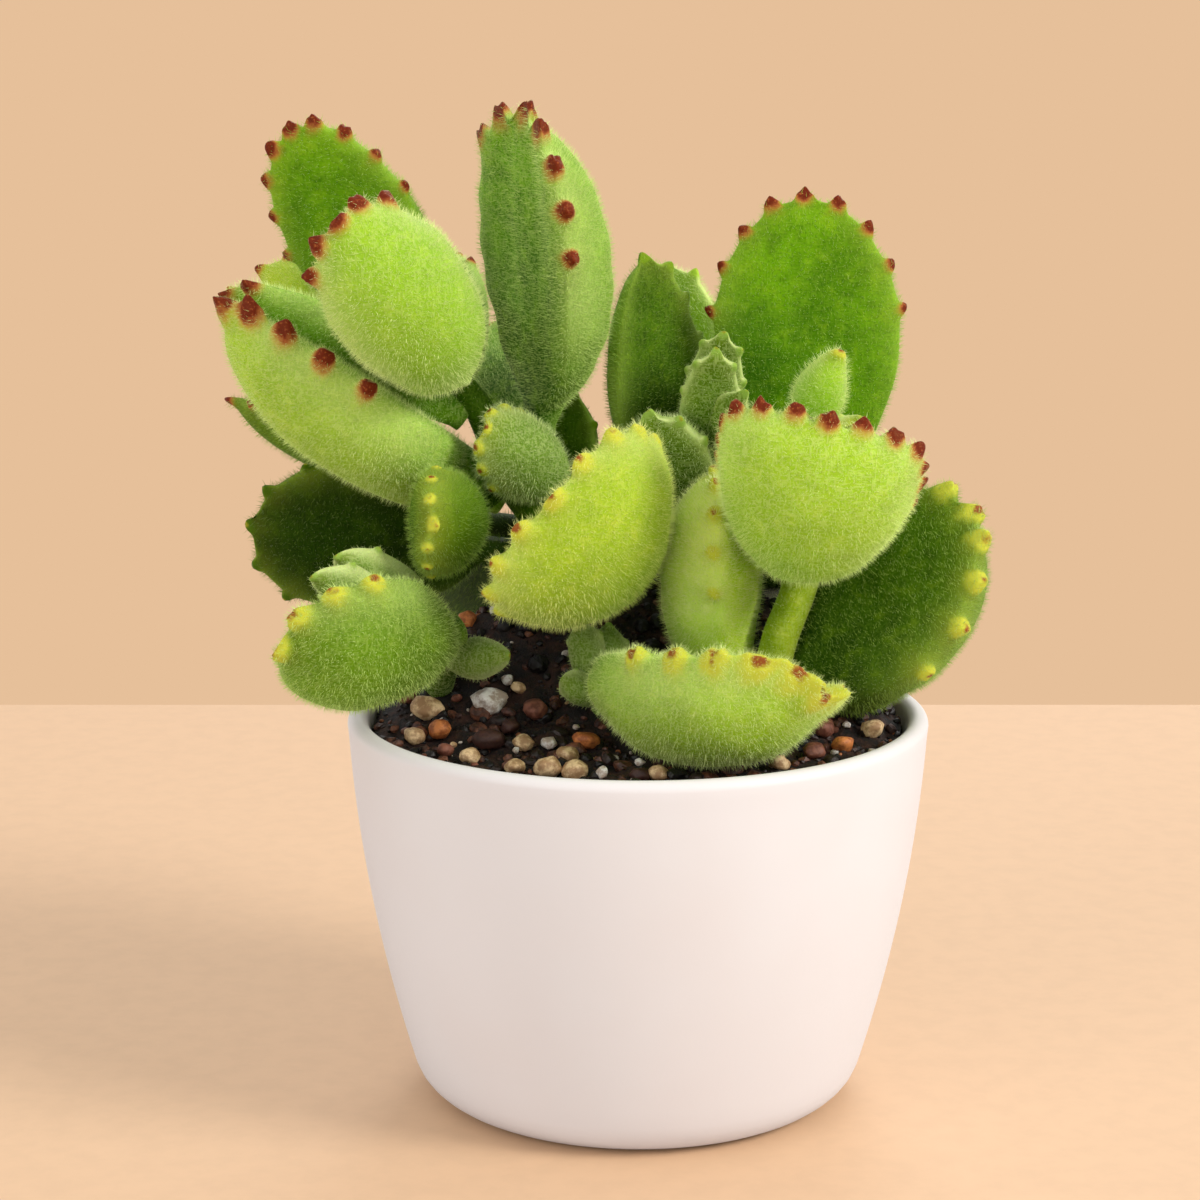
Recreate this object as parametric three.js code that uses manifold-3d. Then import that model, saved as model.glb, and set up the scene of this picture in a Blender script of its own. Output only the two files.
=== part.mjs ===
// Potted bears paw: a small succulent with fat clawed leaves, in a plain white pot.
// Millimetres, +Z up. The origin is the middle of the pot's flat underside, and -Y is the front.
import * as THREE from 'three';
import { mergeVertices } from 'three/addons/utils/BufferGeometryUtils.js';
import Module from 'manifold-3d';

const wasm = await Module();
wasm.setup();

// Pot: a turned bowl that is widest at its rounded rim.
const POT_HEIGHT = 54.3;
const RIM_RADIUS = 40;
const MIDDLE_RADIUS = 36.75;
const FOOT_RADIUS = 29.75;
const FOOT_ROUND = 5;
const WALL = 2.75;
const FLOOR = 3;
const POT_SIDES = 40;

// Soil: fills the pot to just under the rim and is heaped up behind, round the stems.
const SOIL_EDGE = 50.5;
const HEAP_RISE = 19.5;
const HEAP_X = 0;
const HEAP_Y = 17;
const HEAP_WIDE = 36;
const HEAP_DEEP = 12;
const SOIL_SIDES = 24;

// Clearance where one piece sits in or against another.
const GAP = 0.3;
const STEM_FOOT = 43;

// Leaf form: where along its length a blade is widest unless it says so itself, and the angles
// round it at which it is drawn.
const WIDEST = 0.55;
const ROUND = [0, 16, 61, 119, 164, 180, 199, 243, 297, 341].map(THREE.MathUtils.degToRad);
const SMALL_ROUND = [0, 25, 90, 155, 180, 215, 270, 325].map(THREE.MathUtils.degToRad);
const SMALL = 9;
const FRONT = new THREE.Vector3(0, -1, 0);
const UP = new THREE.Vector3(0, 0, 1);

const LEAF_GREEN = 0x6f9a2e;
const PALE_GREEN = 0x9dbb55;
const DARK_GREEN = 0x4d7a22;

// Every large leaf: the points where it leaves the stem and where it ends, the turn of its
// upper face about that line (0 faces the front), its width and thickness, how far it arches,
// and the number and height of the claws down each edge. Where one edge has fewer, it says how
// many, apart is their spacing where they crowd to the tip, and raise is how far they stand up
// towards the upper face.
const LEAVES = {
  leaf_tall: {
    from: [-14.7, 9, 91.5], to: [-15.8, 1, 134], turn: 62, width: 25.5, thick: 11.5,
    bend: -1.5, flat: 0.15, blunt: 3.4, heel: 0.35, teeth: 4, rightTeeth: 2, claw: 3,
    color: LEAF_GREEN,
  },
  leaf_left_pale: {
    from: [-25.5, -2, 102], to: [-37.5, -27, 122.5], turn: 160, width: 18.5, thick: 11,
    bend: -3, widest: 0.6, stalk: 0.04, shoulder: 0.5, standsOff: true, teeth: 2,
    apart: 0.22, claw: 2.4, raise: 0.3, color: PALE_GREEN,
  },
  leaf_left_back: {
    from: [-26.5, 6.4, 100], to: [-46.5, 4, 132.5], turn: 12, width: 18.5, thick: 8,
    bend: -1, stalk: 0.2, teeth: 4, claw: 1.8, color: DARK_GREEN,
  },
  leaf_left_long: {
    from: [-18.3, 8.8, 84.3], to: [-53.2, -10, 109.3], turn: 255, width: 20.5, thick: 13,
    bend: -2, stalk: 0.18, teeth: 4, leftTeeth: 0, claw: 3.4, raise: 0.8, color: LEAF_GREEN,
  },
  leaf_left_upper: {
    from: [-23.5, 6, 94.5], to: [-53.5, -2, 112.5], turn: 250, width: 16, thick: 8,
    bend: 1, stalk: 0.15, teeth: 1, apart: 0.28, claw: 2.4, color: LEAF_GREEN,
  },
  leaf_left_small: {
    from: [-24.5, 13, 96], to: [-52.5, 22, 112.5], turn: 200, width: 12, thick: 6,
    bend: -2, stalk: 0.25, standsOff: true, teeth: 2, claw: 1.4, color: PALE_GREEN,
  },
  leaf_left_thin: {
    from: [-18.5, 14, 85.5], to: [-56.5, 17, 95], turn: 250, width: 9, thick: 6,
    bend: -3, stalk: 0.2, standsOff: true, teeth: 2, claw: 1.4, color: DARK_GREEN,
  },
  leaf_left_dark: {
    from: [-11.8, 11, 73], to: [-52.5, 1.5, 79.5], turn: 5, width: 20, thick: 7.5,
    bend: -1, widest: 0.65, blunt: 3, stalk: 0.26, teeth: 3, claw: 1.4, color: DARK_GREEN,
  },
  leaf_left_low: {
    from: [-25.6, -6.3, 67.5], to: [-46, -24, 69], turn: 218, width: 22, thick: 10,
    bend: -2, teeth: 3, leftTeeth: 0, apart: 0.27, claw: 2.6, color: LEAF_GREEN,
  },
  leaf_egg_lower: {
    from: [-24.8, 3, 80], to: [-27.4, -18, 83.4], turn: 130, width: 14.3, thick: 9.8,
    flat: 0.42, heel: 0.4, stalk: 0.15, standsOff: true, teeth: 3, claw: 0.9,
    color: LEAF_GREEN,
  },
  leaf_egg_upper: {
    from: [-12.5, 11, 83], to: [-21, -3, 93.5], turn: 140, width: 11, thick: 9,
    bend: -1, stalk: 0.2, teeth: 3, claw: 1.3, color: LEAF_GREEN,
  },
  leaf_front_oval: {
    from: [-4.2, 8, 72.8], to: [-10.9, -25, 87.7], turn: 155, width: 29, thick: 10.5,
    bend: -3, widest: 0.7, blunt: 2.7, stalk: 0.15, standsOff: true, teeth: 4, claw: 2,
    raise: 0.5, color: PALE_GREEN,
  },
  leaf_centre_young: {
    from: [6.5, 13.3, 79.6], to: [1.5, 2, 94], turn: 10, width: 13, thick: 6,
    stalk: 0.2, teeth: 2, claw: 1.4, color: LEAF_GREEN,
  },
  leaf_centre_dark: {
    from: [5.2, 15, 81], to: [1.3, 12.5, 114.5], turn: 330, width: 15.5, thick: 8,
    bend: -1, widest: 0.44, blunt: 1.5, shoulder: 0.5, teeth: 3, rightTeeth: 0,
    claw: 1.4, color: DARK_GREEN,
  },
  leaf_centre_bright: {
    from: [8.3, 16.8, 86.2], to: [4.6, 33, 111.5], turn: 30, width: 13, thick: 6,
    bend: -3, stalk: 0.3, teeth: 2, claw: 1.4, color: PALE_GREEN,
  },
  leaf_right_round: {
    from: [24, 10.5, 81], to: [23, 12, 123], turn: 5, width: 25.5, thick: 9,
    bend: -1, stalk: 0.12, shoulder: 0.5, teeth: 4, claw: 1.8, color: LEAF_GREEN,
  },
  leaf_right_pointed: {
    from: [21.5, -2.5, 92], to: [26.4, -8, 104.8], turn: 180, width: 7.2, thick: 6,
    blunt: 1.05, shoulder: 0.5, standsOff: true, teeth: 0, claw: 1.4, color: PALE_GREEN,
  },
  leaf_right_bowl: {
    from: [22.7, 3.5, 78], to: [23.6, -26, 97], turn: 191, width: 25.5, thick: 12,
    bend: -4, widest: 0.78, blunt: 4, teeth: 6, claw: 2.2, raise: 1,
    color: PALE_GREEN,
  },
  leaf_front_upright: {
    from: [12.5, 4, 60], to: [11.5, -3, 87.5], turn: 288, width: 20, thick: 13,
    widest: 0.5, neck: 0.5, heel: 0.85, teeth: 4, claw: 1.6, first: 0.4, color: LEAF_GREEN,
  },
  leaf_right_low: {
    from: [18.8, 2, 56], to: [44, -4, 82], turn: 50, width: 28, thick: 13,
    bend: -2, stalk: 0.1, shoulder: 0.5, teeth: 4, claw: 2.2, first: 0.4, color: DARK_GREEN,
  },
  leaf_front_low: {
    from: [-4.2, -4, 61], to: [20.5, -29, 63], turn: 120, width: 21.5, thick: 12.5,
    bend: -2.5, blunt: 3, shoulder: 0.4, stalk: 0.05, teeth: 5, claw: 3.4, first: 0.3,
    raise: 0.6, color: PALE_GREEN,
  },
  leaf_rear_left_high: {
    from: [-24.5, 6.5, 99.2], to: [-29, 42, 110], turn: 30, width: 15, thick: 7,
    stalk: 0.25, teeth: 2, claw: 1.4, color: DARK_GREEN,
  },
  leaf_rear_middle_high: {
    from: [-14.8, 11.5, 89.8], to: [-16.5, 46, 104], turn: 10, width: 16, thick: 8,
    teeth: 2, claw: 1.4, color: DARK_GREEN,
  },
  leaf_rear_centre: {
    from: [8, 17, 83], to: [5, 50, 93], turn: 0, width: 17, thick: 8,
    stalk: 0.2, teeth: 2, claw: 1.4, color: DARK_GREEN,
  },
  leaf_rear_right_high: {
    from: [24.3, 9, 85.5], to: [27.5, 46, 97], turn: 0, width: 18, thick: 8,
    stalk: 0.35, teeth: 2, claw: 1.4, color: DARK_GREEN,
  },
  leaf_rear_right_low: {
    from: [21, 5, 73], to: [26, 46, 61.5], turn: 340, width: 17, thick: 7,
    stalk: 0.25, teeth: 2, claw: 1.4, color: DARK_GREEN,
  },
  leaf_rear_centre_low: {
    from: [9, 14, 72], to: [9, 46, 77], turn: 0, width: 18, thick: 8,
    teeth: 2, claw: 1.4, color: DARK_GREEN,
  },
  leaf_rear_left_low: {
    from: [-9.5, 15, 75], to: [-31, 42, 61], turn: 20, width: 24, thick: 8,
    teeth: 2, claw: 1.4, color: DARK_GREEN,
  },
};

// Stems: centre line points with the radius at each, and the small leaves that are one with
// them. A second line in a stem is a branch.
const STEMS = {
  stem_left: {
    lines: [
      [[-5, 12, STEM_FOOT, 2.8], [-5, 12, 56, 2.7], [-6.5, 12, 67, 2.6], [-12, 10, 76.5, 2.5],
        [-17.5, 7, 85, 2.3], [-21.5, 6, 94.5, 2.1], [-25, 5, 100, 1.6]],
      [[-6, 12, 64, 2.2], [-9.5, 17, 75.5, 2.2], [-13, 14, 84, 2], [-14.5, 9, 92, 1.7]],
    ],
    leaves: [
      { from: [-9, 16, 77], to: [-9, 15, 95.5], turn: 30, width: 8, thick: 4, teeth: 1, claw: 1 },
    ],
    color: 0x8a8f4a,
  },
  stem_centre: {
    lines: [
      [[9, 9, STEM_FOOT, 2.8], [9, 9, 54.5, 2.7], [9, 12, 68.5, 2.6], [8, 15, 79.5, 2.3],
        [8.5, 16, 88, 1.6]],
    ],
    leaves: [
      { from: [9, 14, 85], to: [10.5, 1, 103], turn: 0, width: 8, thick: 5, teeth: 2, claw: 1 },
      { from: [8.5, 14, 85], to: [14, 1, 97.5], turn: 30, width: 7, thick: 4, teeth: 1, claw: 1 },
      { from: [9, 14.5, 86], to: [11.5, 5, 105], turn: 10, width: 8, thick: 4, teeth: 2, claw: 1 },
    ],
    color: 0x7f9a3e,
  },
  stem_right: {
    lines: [
      [[17.5, 0, STEM_FOOT, 2.6], [17.5, 0, 54.5, 2.5], [19.5, 0, 64, 2.5], [22.5, 3, 71.5, 2.5],
        [24, 7, 82, 2.3], [24, 8, 89, 1.8]],
    ],
    leaves: [
      { from: [24, 8, 86], to: [30.5, 5, 94], turn: 180, width: 5, thick: 4, teeth: 1, claw: 1 },
    ],
    color: 0x8fae48,
  },
  stem_left_low: {
    lines: [
      [[-28, 5, STEM_FOOT, 2.3], [-28, 4, 54.5, 2.2], [-27, 1, 60, 2.1], [-26, -3, 65, 2],
        [-27.5, -6, 69.5, 1.4]],
    ],
    leaves: [
      { from: [-27.5, -5, 68], to: [-39.5, -16, 79], turn: 200, width: 8, thick: 5,
        teeth: 1, claw: 1 },
      { from: [-27.5, -5, 68.5], to: [-42.5, -20, 77], turn: 200, width: 7, thick: 5,
        teeth: 1, claw: 1 },
      { from: [-27, 0, 61], to: [-17.5, -6, 63], turn: 200, width: 6, thick: 3.5,
        blunt: 1.3, teeth: 0, claw: 0.8 },
    ],
    color: 0x8fae48,
  },
  stem_front: {
    lines: [
      [[-4.5, -2, STEM_FOOT, 2], [-4.5, -2, 52.5, 1.9], [-5, -3, 56.5, 1.7], [-6, -4, 59, 1.4]],
    ],
    leaves: [
      { from: [-5, -2, 56], to: [-8, 1, 66], turn: 200, width: 5.5, thick: 4, teeth: 1, claw: 0.8 },
      { from: [-5, -2, 56], to: [-4, 3, 65], turn: 190, width: 6, thick: 4, teeth: 1, claw: 0.8 },
      { from: [-5, -2, 56], to: [-10.5, -4, 59.5], turn: 180, width: 4.5, thick: 4.5, teeth: 1,
        claw: 0.4 },
    ],
    color: 0x8fae48,
  },
};

// Pebbles on the soil, from the photograph: the place and the radius of each.
const PEBBLES = [
  [-20.5, -2.5, 2.1], [-18, 1.5, 0.9], [-16.5, 0, 1], [-12, -11.5, 1], [-27.5, -3, 2.2],
  [-32, 2, 1.6], [-30.5, -7, 1.5], [-15.5, -11.5, 1.4], [-9.5, -16, 1.6], [-7, -12, 1.6],
  [-22.5, -15.5, 1.4], [-16.5, -19.5, 1.5], [-12, -21.5, 1.9], [-8.5, -22.5, 1.8],
  [-5, -23.5, 1], [2.5, -23, 1.5], [18.5, -18.5, 1.4], [27.5, -11, 1.5], [32, -5, 1.2],
  [-20, -10.5, 1.9], [-18, -6.5, 1.5], [-14, -4, 1.8], [25, -6.5, 1.9], [0, -23.5, 1.2],
  [-24, 12, 1.4],
];
// More of them round the rest of the pot, drawn at random from a fixed seed.
const MORE_PEBBLES = 3;
const PEBBLE_SEED = 7;

const point = (p) => new THREE.Vector3(p[0], p[1], p[2]);
const ease = (t) => {
  const x = THREE.MathUtils.clamp(t, 0, 1);
  return x * x * (3 - 2 * x);
};

function randomFrom(seed) {
  let state = seed;
  return () => {
    state = (state * 16807) % 2147483647;
    return state / 2147483647;
  };
}

// Skins a row of closed rings and shuts both ends with a fan to a point.
function skin(rings, start, end) {
  const count = rings[0].length;
  const positions = [];
  for (const ring of rings) for (const p of ring) positions.push(p.x, p.y, p.z);
  positions.push(start.x, start.y, start.z, end.x, end.y, end.z);
  const first = rings.length * count;
  const index = [];
  for (let i = 0; i < rings.length - 1; i += 1) {
    for (let j = 0; j < count; j += 1) {
      const k = (j + 1) % count;
      const a = i * count + j;
      const b = i * count + k;
      index.push(a, b, b + count, a, b + count, a + count);
    }
  }
  const last = (rings.length - 1) * count;
  for (let j = 0; j < count; j += 1) {
    const k = (j + 1) % count;
    index.push(first, k, j, first + 1, last + j, last + k);
  }
  const geometry = new THREE.BufferGeometry();
  geometry.setAttribute('position', new THREE.Float32BufferAttribute(positions, 3));
  geometry.setIndex(index);
  return geometry;
}

function toSolid(geometry) {
  const bare = geometry.clone();
  bare.deleteAttribute('normal');
  bare.deleteAttribute('uv');
  const merged = mergeVertices(bare, 1e-4);
  const build = (triVerts) => new wasm.Manifold(new wasm.Mesh({
    numProp: 3,
    vertProperties: new Float32Array(merged.attributes.position.array),
    triVerts,
  }));
  const solid = build(new Uint32Array(merged.index.array));
  if (solid.volume() > 0) return solid;
  return build(new Uint32Array(merged.index.array).reverse());
}

function toGeometry(solid) {
  const mesh = solid.getMesh();
  const geometry = new THREE.BufferGeometry();
  geometry.setAttribute('position', new THREE.Float32BufferAttribute(mesh.vertProperties, 3));
  geometry.setIndex(Array.from(mesh.triVerts));
  geometry.computeVertexNormals();
  return geometry;
}

// The largest body of a cut, without any scrap left beyond the piece that cut it.
function mainBody(solid) {
  return solid.decompose().reduce((a, b) => (a.volume() > b.volume() ? a : b));
}

// Half the width of a blade at s, from 0 at the stem to 1 at the tip.
function halfWidth(leaf, s) {
  const stalk = leaf.stalk ?? 0.1;
  const neck = leaf.neck ?? 0.2;
  const widest = leaf.widest ?? WIDEST;
  if (s < widest) {
    const t = THREE.MathUtils.clamp((s - stalk) / (widest - stalk), 0, 1);
    const grow = Math.sin((Math.PI / 2) * t) ** (leaf.shoulder ?? 0.62);
    return (leaf.width / 2) * (neck + (1 - neck) * grow);
  }
  const x = Math.min((s - widest) / (1 - widest), 1);
  return (leaf.width / 2) * Math.sqrt(1 - x ** (leaf.blunt ?? 2.15));
}

function thickness(leaf, s) {
  if (s < 0.5) {
    const grow = Math.sin((Math.PI / 2) * THREE.MathUtils.clamp((s - 0.04) / 0.42, 0, 1)) ** 0.9;
    const heel = leaf.heel ?? 0.5;
    return leaf.thick * (heel + (1 - heel) * grow);
  }
  return leaf.thick * (1 - ((s - 0.5) / 0.5) ** 2.3) ** 0.62;
}

// A leaf's surface: its middle line is a gentle arch, the upper face is flatter than the
// lower one, and both edges lift a little.
function surface(leaf) {
  const from = point(leaf.from);
  const to = point(leaf.to);
  const axis = to.clone().sub(from).normalize();
  let face = FRONT.clone().addScaledVector(axis, -FRONT.dot(axis));
  if (face.length() < 0.15) face = UP.clone().addScaledVector(axis, -UP.dot(axis));
  face.normalize();
  const side = face.clone().cross(axis);
  const turn = THREE.MathUtils.degToRad(leaf.turn);
  const normal = face.multiplyScalar(Math.cos(turn)).addScaledVector(side, Math.sin(turn));
  const middle = from.clone().add(to).multiplyScalar(0.5)
    .addScaledVector(normal, 2 * (leaf.bend ?? 0));
  const line = new THREE.QuadraticBezierCurve3(from, middle, to);
  const flat = leaf.flat ?? 0.3;
  return (s, angle) => {
    const along = line.getTangent(s);
    const above = normal.clone().addScaledVector(along, -normal.dot(along)).normalize();
    const across = above.clone().cross(along);
    const w = halfWidth(leaf, s);
    const c = Math.cos(angle);
    const height = thickness(leaf, s) * Math.abs(Math.sin(angle)) ** 0.8;
    const lift = Math.sin(angle) > 0 ? flat * height : -(1 - flat) * height;
    return line.getPoint(s).addScaledVector(across, w * c)
      .addScaledVector(above, lift + 0.12 * w * c * c * ease(s / 0.5));
  };
}

// Steps down a blade's edge: 0 is the tip and 1 the lowest claw's end of the edge.
function edgeStep(leaf, f) {
  const first = leaf.first ?? 0.55;
  const widest = leaf.widest ?? WIDEST;
  const rise = Math.sin(((1 - f) * Math.PI) / 2);
  return widest - (widest - first) * f ** 3 + (1 - widest) * rise;
}

// A leaf as one closed skin, with its claws drawn out of both edges and the tip.
function leafGeometry(leaf) {
  const at = surface(leaf);
  const first = leaf.first ?? 0.55;
  const length = point(leaf.to).distanceTo(point(leaf.from));
  const cap = (1 - (leaf.widest ?? WIDEST)) * length;
  const edge = (Math.PI / 2) * Math.hypot(leaf.width / 2, cap) * 0.7071;
  const wide = (leaf.claw * 0.55) / edge;
  const apart = leaf.apart ?? 1 / (leaf.teeth + 0.6);
  const raised = (way, s) => {
    const above = at(s, Math.PI / 2).sub(at(s, -Math.PI / 2)).normalize();
    return way.addScaledVector(above, leaf.raise ?? 0).normalize();
  };
  const steps = [[1, 0, 0]];
  for (let k = leaf.teeth; k > 0; k -= 1) {
    const f = k * apart;
    const before = steps[steps.length - 1][0];
    if (before - (f + wide) > 0.3) steps.push([(before + f + wide) / 2, 0, 0]);
    const right = k <= (leaf.rightTeeth ?? leaf.teeth) ? leaf.claw * (1 - 0.4 * f) : 0;
    const left = k <= (leaf.leftTeeth ?? leaf.teeth) ? leaf.claw * (1 - 0.4 * f) : 0;
    steps.push([f + wide, 0, 0], [f, right, left], [f - wide, 0, 0]);
  }
  steps.push([0.075, 0, 0]);
  const base = [0, 0.3, 0.68];
  const round = leaf.width > SMALL ? ROUND : SMALL_ROUND;
  const rows = base.map((b) => [b * first, 0, 0]);
  for (const [f, right, left] of steps) rows.push([edgeStep(leaf, f), right, left]);
  const rings = rows.map(([s, right, left]) => round.map((angle) => {
    const p = at(s, angle);
    const claw = angle === 0 ? right : left;
    if (claw > 0 && (angle === 0 || Math.abs(angle - Math.PI) < 1e-6)) {
      const back = at(s - 0.02, angle);
      const centre = at(s, 0).add(at(s, Math.PI)).multiplyScalar(0.5);
      const forward = p.clone().sub(back).normalize();
      const out = p.clone().sub(centre);
      out.addScaledVector(forward, -out.dot(forward)).normalize();
      p.addScaledVector(raised(out.addScaledVector(forward, 0.3), s), claw);
    }
    return p;
  }));
  const along = at(1, 0).sub(at(0.98, Math.PI / 2)).normalize();
  const tip = point(leaf.to).addScaledVector(raised(along, 0.95), leaf.claw);
  return skin(rings, point(leaf.from), tip);
}

// A round tapering tube through the points of a line, [x, y, z, radius], made thicker by extra.
function tubeGeometry(line, sides, steps, extra = 0) {
  const curve = new THREE.CatmullRomCurve3(line.map(point));
  const taper = new THREE.SplineCurve(line.map((p, i) => new THREE.Vector2(i, p[3])));
  const rings = [];
  const start = curve.getPoint(0);
  const end = curve.getPoint(1);
  let across = new THREE.Vector3(1, 0, 0);
  for (let i = 0; i <= steps; i += 1) {
    const t = i / steps;
    const centre = curve.getPoint(t);
    const along = curve.getTangent(t);
    if (i === 0) centre.addScaledVector(along, -extra);
    if (i === steps) centre.addScaledVector(along, extra);
    across = across.clone().addScaledVector(along, -across.dot(along)).normalize();
    const other = along.clone().cross(across);
    const radius = taper.getPoint(t).y + extra;
    const ring = [];
    for (let j = 0; j < sides; j += 1) {
      const a = (2 * Math.PI * j) / sides;
      ring.push(centre.clone().addScaledVector(across, radius * Math.cos(a))
        .addScaledVector(other, radius * Math.sin(a)));
    }
    rings.push(ring);
    if (i === 0) start.copy(centre);
    if (i === steps) end.copy(centre);
  }
  return skin(rings, start, end);
}

// The nearest point to p on the middle line of any stem.
function nearestStem(p) {
  let best = null;
  for (const stem of Object.values(STEMS)) {
    for (const line of stem.lines) {
      for (const q of new THREE.CatmullRomCurve3(line.map(point)).getPoints(120)) {
        if (!best || q.distanceTo(p) < best.distanceTo(p)) best = q;
      }
    }
  }
  return best;
}

// A leaf's solid. A blade that stands off from its stem gets a round stalk that runs to it.
function leafSolid(leaf) {
  const blade = toSolid(leafGeometry(leaf));
  if (!leaf.standsOff) return blade;
  const at = surface(leaf);
  const inside = (s) => at(s, Math.PI / 2).add(at(s, -Math.PI / 2)).multiplyScalar(0.5).toArray();
  const line = [nearestStem(point(leaf.from)).toArray(), inside(0.04), inside(0.2)];
  const radius = 0.9 + 0.03 * leaf.width;
  return blade.add(toSolid(tubeGeometry(line.map((p) => [...p, radius]), 7, 4)));
}

// The pot's outer radius at height z, with the underside's edge rounded.
function potRadius(z) {
  const t = z / POT_HEIGHT;
  const r = FOOT_RADIUS * 2 * (t - 0.5) * (t - 1) - MIDDLE_RADIUS * 4 * t * (t - 1)
    + RIM_RADIUS * 2 * t * (t - 0.5);
  const d = Math.max(FOOT_ROUND - z, 0);
  return r - (FOOT_ROUND - Math.sqrt(FOOT_ROUND ** 2 - d ** 2));
}

// The hollow's radius at height z: the outside less the wall, closing round to the floor.
function hollowRadius(z) {
  const d = Math.max(FLOOR + FOOT_ROUND - z, 0);
  const close = FOOT_ROUND - Math.sqrt(Math.max(FOOT_ROUND ** 2 - d ** 2, 0));
  return potRadius(Math.max(z, FOOT_ROUND)) - WALL - close;
}

function potGeometry() {
  const profile = [new THREE.Vector2(0, 0)];
  for (const z of [0, 0.5, 2, FOOT_ROUND, 14, 25, 36, 46]) {
    profile.push(new THREE.Vector2(potRadius(z), z));
  }
  const lip = WALL / 2;
  for (const a of [0, 50, 90, 130, 180]) {
    const t = THREE.MathUtils.degToRad(a);
    profile.push(new THREE.Vector2(
      RIM_RADIUS - lip + lip * Math.cos(t),
      POT_HEIGHT - lip + lip * Math.sin(t),
    ));
  }
  for (const z of [38, 24, FLOOR + FOOT_ROUND, FLOOR + 2, FLOOR + 0.4]) {
    profile.push(new THREE.Vector2(hollowRadius(z), z));
  }
  profile.push(new THREE.Vector2(hollowRadius(FLOOR + 0.2) - 2, FLOOR), new THREE.Vector2(0, FLOOR));
  return new THREE.LatheGeometry(profile, POT_SIDES).rotateX(Math.PI / 2);
}

function soilHeight(x, y) {
  const near = (((x - HEAP_X) / HEAP_WIDE) ** 2 + ((y - HEAP_Y) / HEAP_DEEP) ** 2) / 2;
  const inside = Math.max(1 - (Math.hypot(x, y) / 38) ** 7, 0);
  const lumps = 0.4 * Math.sin(0.55 * x + 1.3) * Math.sin(0.62 * y + 0.4);
  return SOIL_EDGE + HEAP_RISE * Math.exp(-near) * inside + lumps;
}

function soilSolid() {
  const ring = (radius, height) => {
    const points = [];
    for (let j = 0; j < SOIL_SIDES; j += 1) {
      const a = (2 * Math.PI * j) / SOIL_SIDES;
      const x = radius * Math.cos(a);
      const y = radius * Math.sin(a);
      points.push(new THREE.Vector3(x, y, height ?? soilHeight(x, y)));
    }
    return points;
  };
  const rings = [ring(hollowRadius(FLOOR + 0.4) - 3, FLOOR)];
  for (const z of [FLOOR + 2.5, FLOOR + FOOT_ROUND + 1, 24, 38]) {
    rings.push(ring(hollowRadius(z) - GAP - 0.2, z));
  }
  for (const r of [36.2, 30, 23, 15, 7]) rings.push(ring(r));
  const solid = toSolid(skin(
    rings,
    new THREE.Vector3(0, 0, FLOOR),
    new THREE.Vector3(0, 0, soilHeight(0, 0)),
  ));
  const draw = randomFrom(PEBBLE_SEED);
  const stones = PEBBLES.slice();
  while (stones.length < PEBBLES.length + MORE_PEBBLES) {
    const r = 34 * Math.sqrt(draw());
    const a = 2 * Math.PI * draw();
    const stone = [r * Math.cos(a), r * Math.sin(a), 0.8 + 1.1 * draw()];
    const clear = stones.every((s) => Math.hypot(s[0] - stone[0], s[1] - stone[1]) > 4.5);
    if (clear && stone[1] > -14) stones.push(stone);
  }
  return stones.reduce((heap, [x, y, r]) => {
    const pebble = new THREE.IcosahedronGeometry(r, 0);
    pebble.scale(1 + 0.25 * draw(), 1, 0.75 + 0.2 * draw());
    pebble.rotateZ(6.28 * draw()).rotateX(0.5 * draw());
    pebble.translate(x, y, soilHeight(x, y) + 0.25 * r);
    return heap.add(toSolid(pebble));
  }, solid);
}

// The same leaf grown by the clearance all round, to cut its seat in a neighbour.
const thicker = (leaf) => ({
  ...leaf, width: leaf.width + 2 * GAP, thick: leaf.thick + 2.5 * GAP,
});

const stems = {};
const stemSeats = [];
for (const [name, stem] of Object.entries(STEMS)) {
  let solid = null;
  for (const line of stem.lines) {
    const tube = toSolid(tubeGeometry(line, 8, 8));
    solid = solid ? solid.add(tube) : tube;
    stemSeats.push(toSolid(tubeGeometry(line, 8, 8, 1.3 * GAP)));
  }
  for (const leaf of stem.leaves) {
    solid = solid.add(toSolid(leafGeometry(leaf)));
    stemSeats.push(toSolid(leafGeometry(thicker(leaf))));
  }
  stems[name] = solid;
}
const allSeats = stemSeats.reduce((a, b) => a.add(b));

const object = new THREE.Group();
function addPiece(name, geometry, color, roughness) {
  const mesh = new THREE.Mesh(geometry, new THREE.MeshStandardMaterial({
    color, roughness, metalness: 0,
  }));
  mesh.name = name;
  object.add(mesh);
}

addPiece('pot', toGeometry(toSolid(potGeometry())), 0xf3efec, 0.45);
for (const [name, stem] of Object.entries(STEMS)) {
  addPiece(name, toGeometry(stems[name]), stem.color, 0.8);
}
// Where a leaf presses on one already placed, it is hollowed to clear it. The soil is pressed in
// under a leaf that lies on it.
const placed = [];
let soil = soilSolid().subtract(allSeats);
for (const [name, leaf] of Object.entries(LEAVES)) {
  let solid = leafSolid(leaf).subtract(allSeats);
  for (const other of placed) {
    if (solid.intersect(other).volume() > 0) solid = solid.subtract(other);
  }
  const seat = leafSolid(thicker(leaf));
  placed.push(seat);
  if (soil.intersect(seat).volume() > 0) soil = soil.subtract(seat);
  addPiece(name, toGeometry(mainBody(solid)), leaf.color, 0.75);
}
addPiece('soil', toGeometry(mainBody(soil)), 0x2c1d16, 0.95);

export default object;
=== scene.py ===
"""Potted bears paw: a small succulent with fat downy leaves and red claws, in a white pot.

Sizes are in millimetres unless a name says otherwise; the scene itself is in metres.
"""
import math

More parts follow.
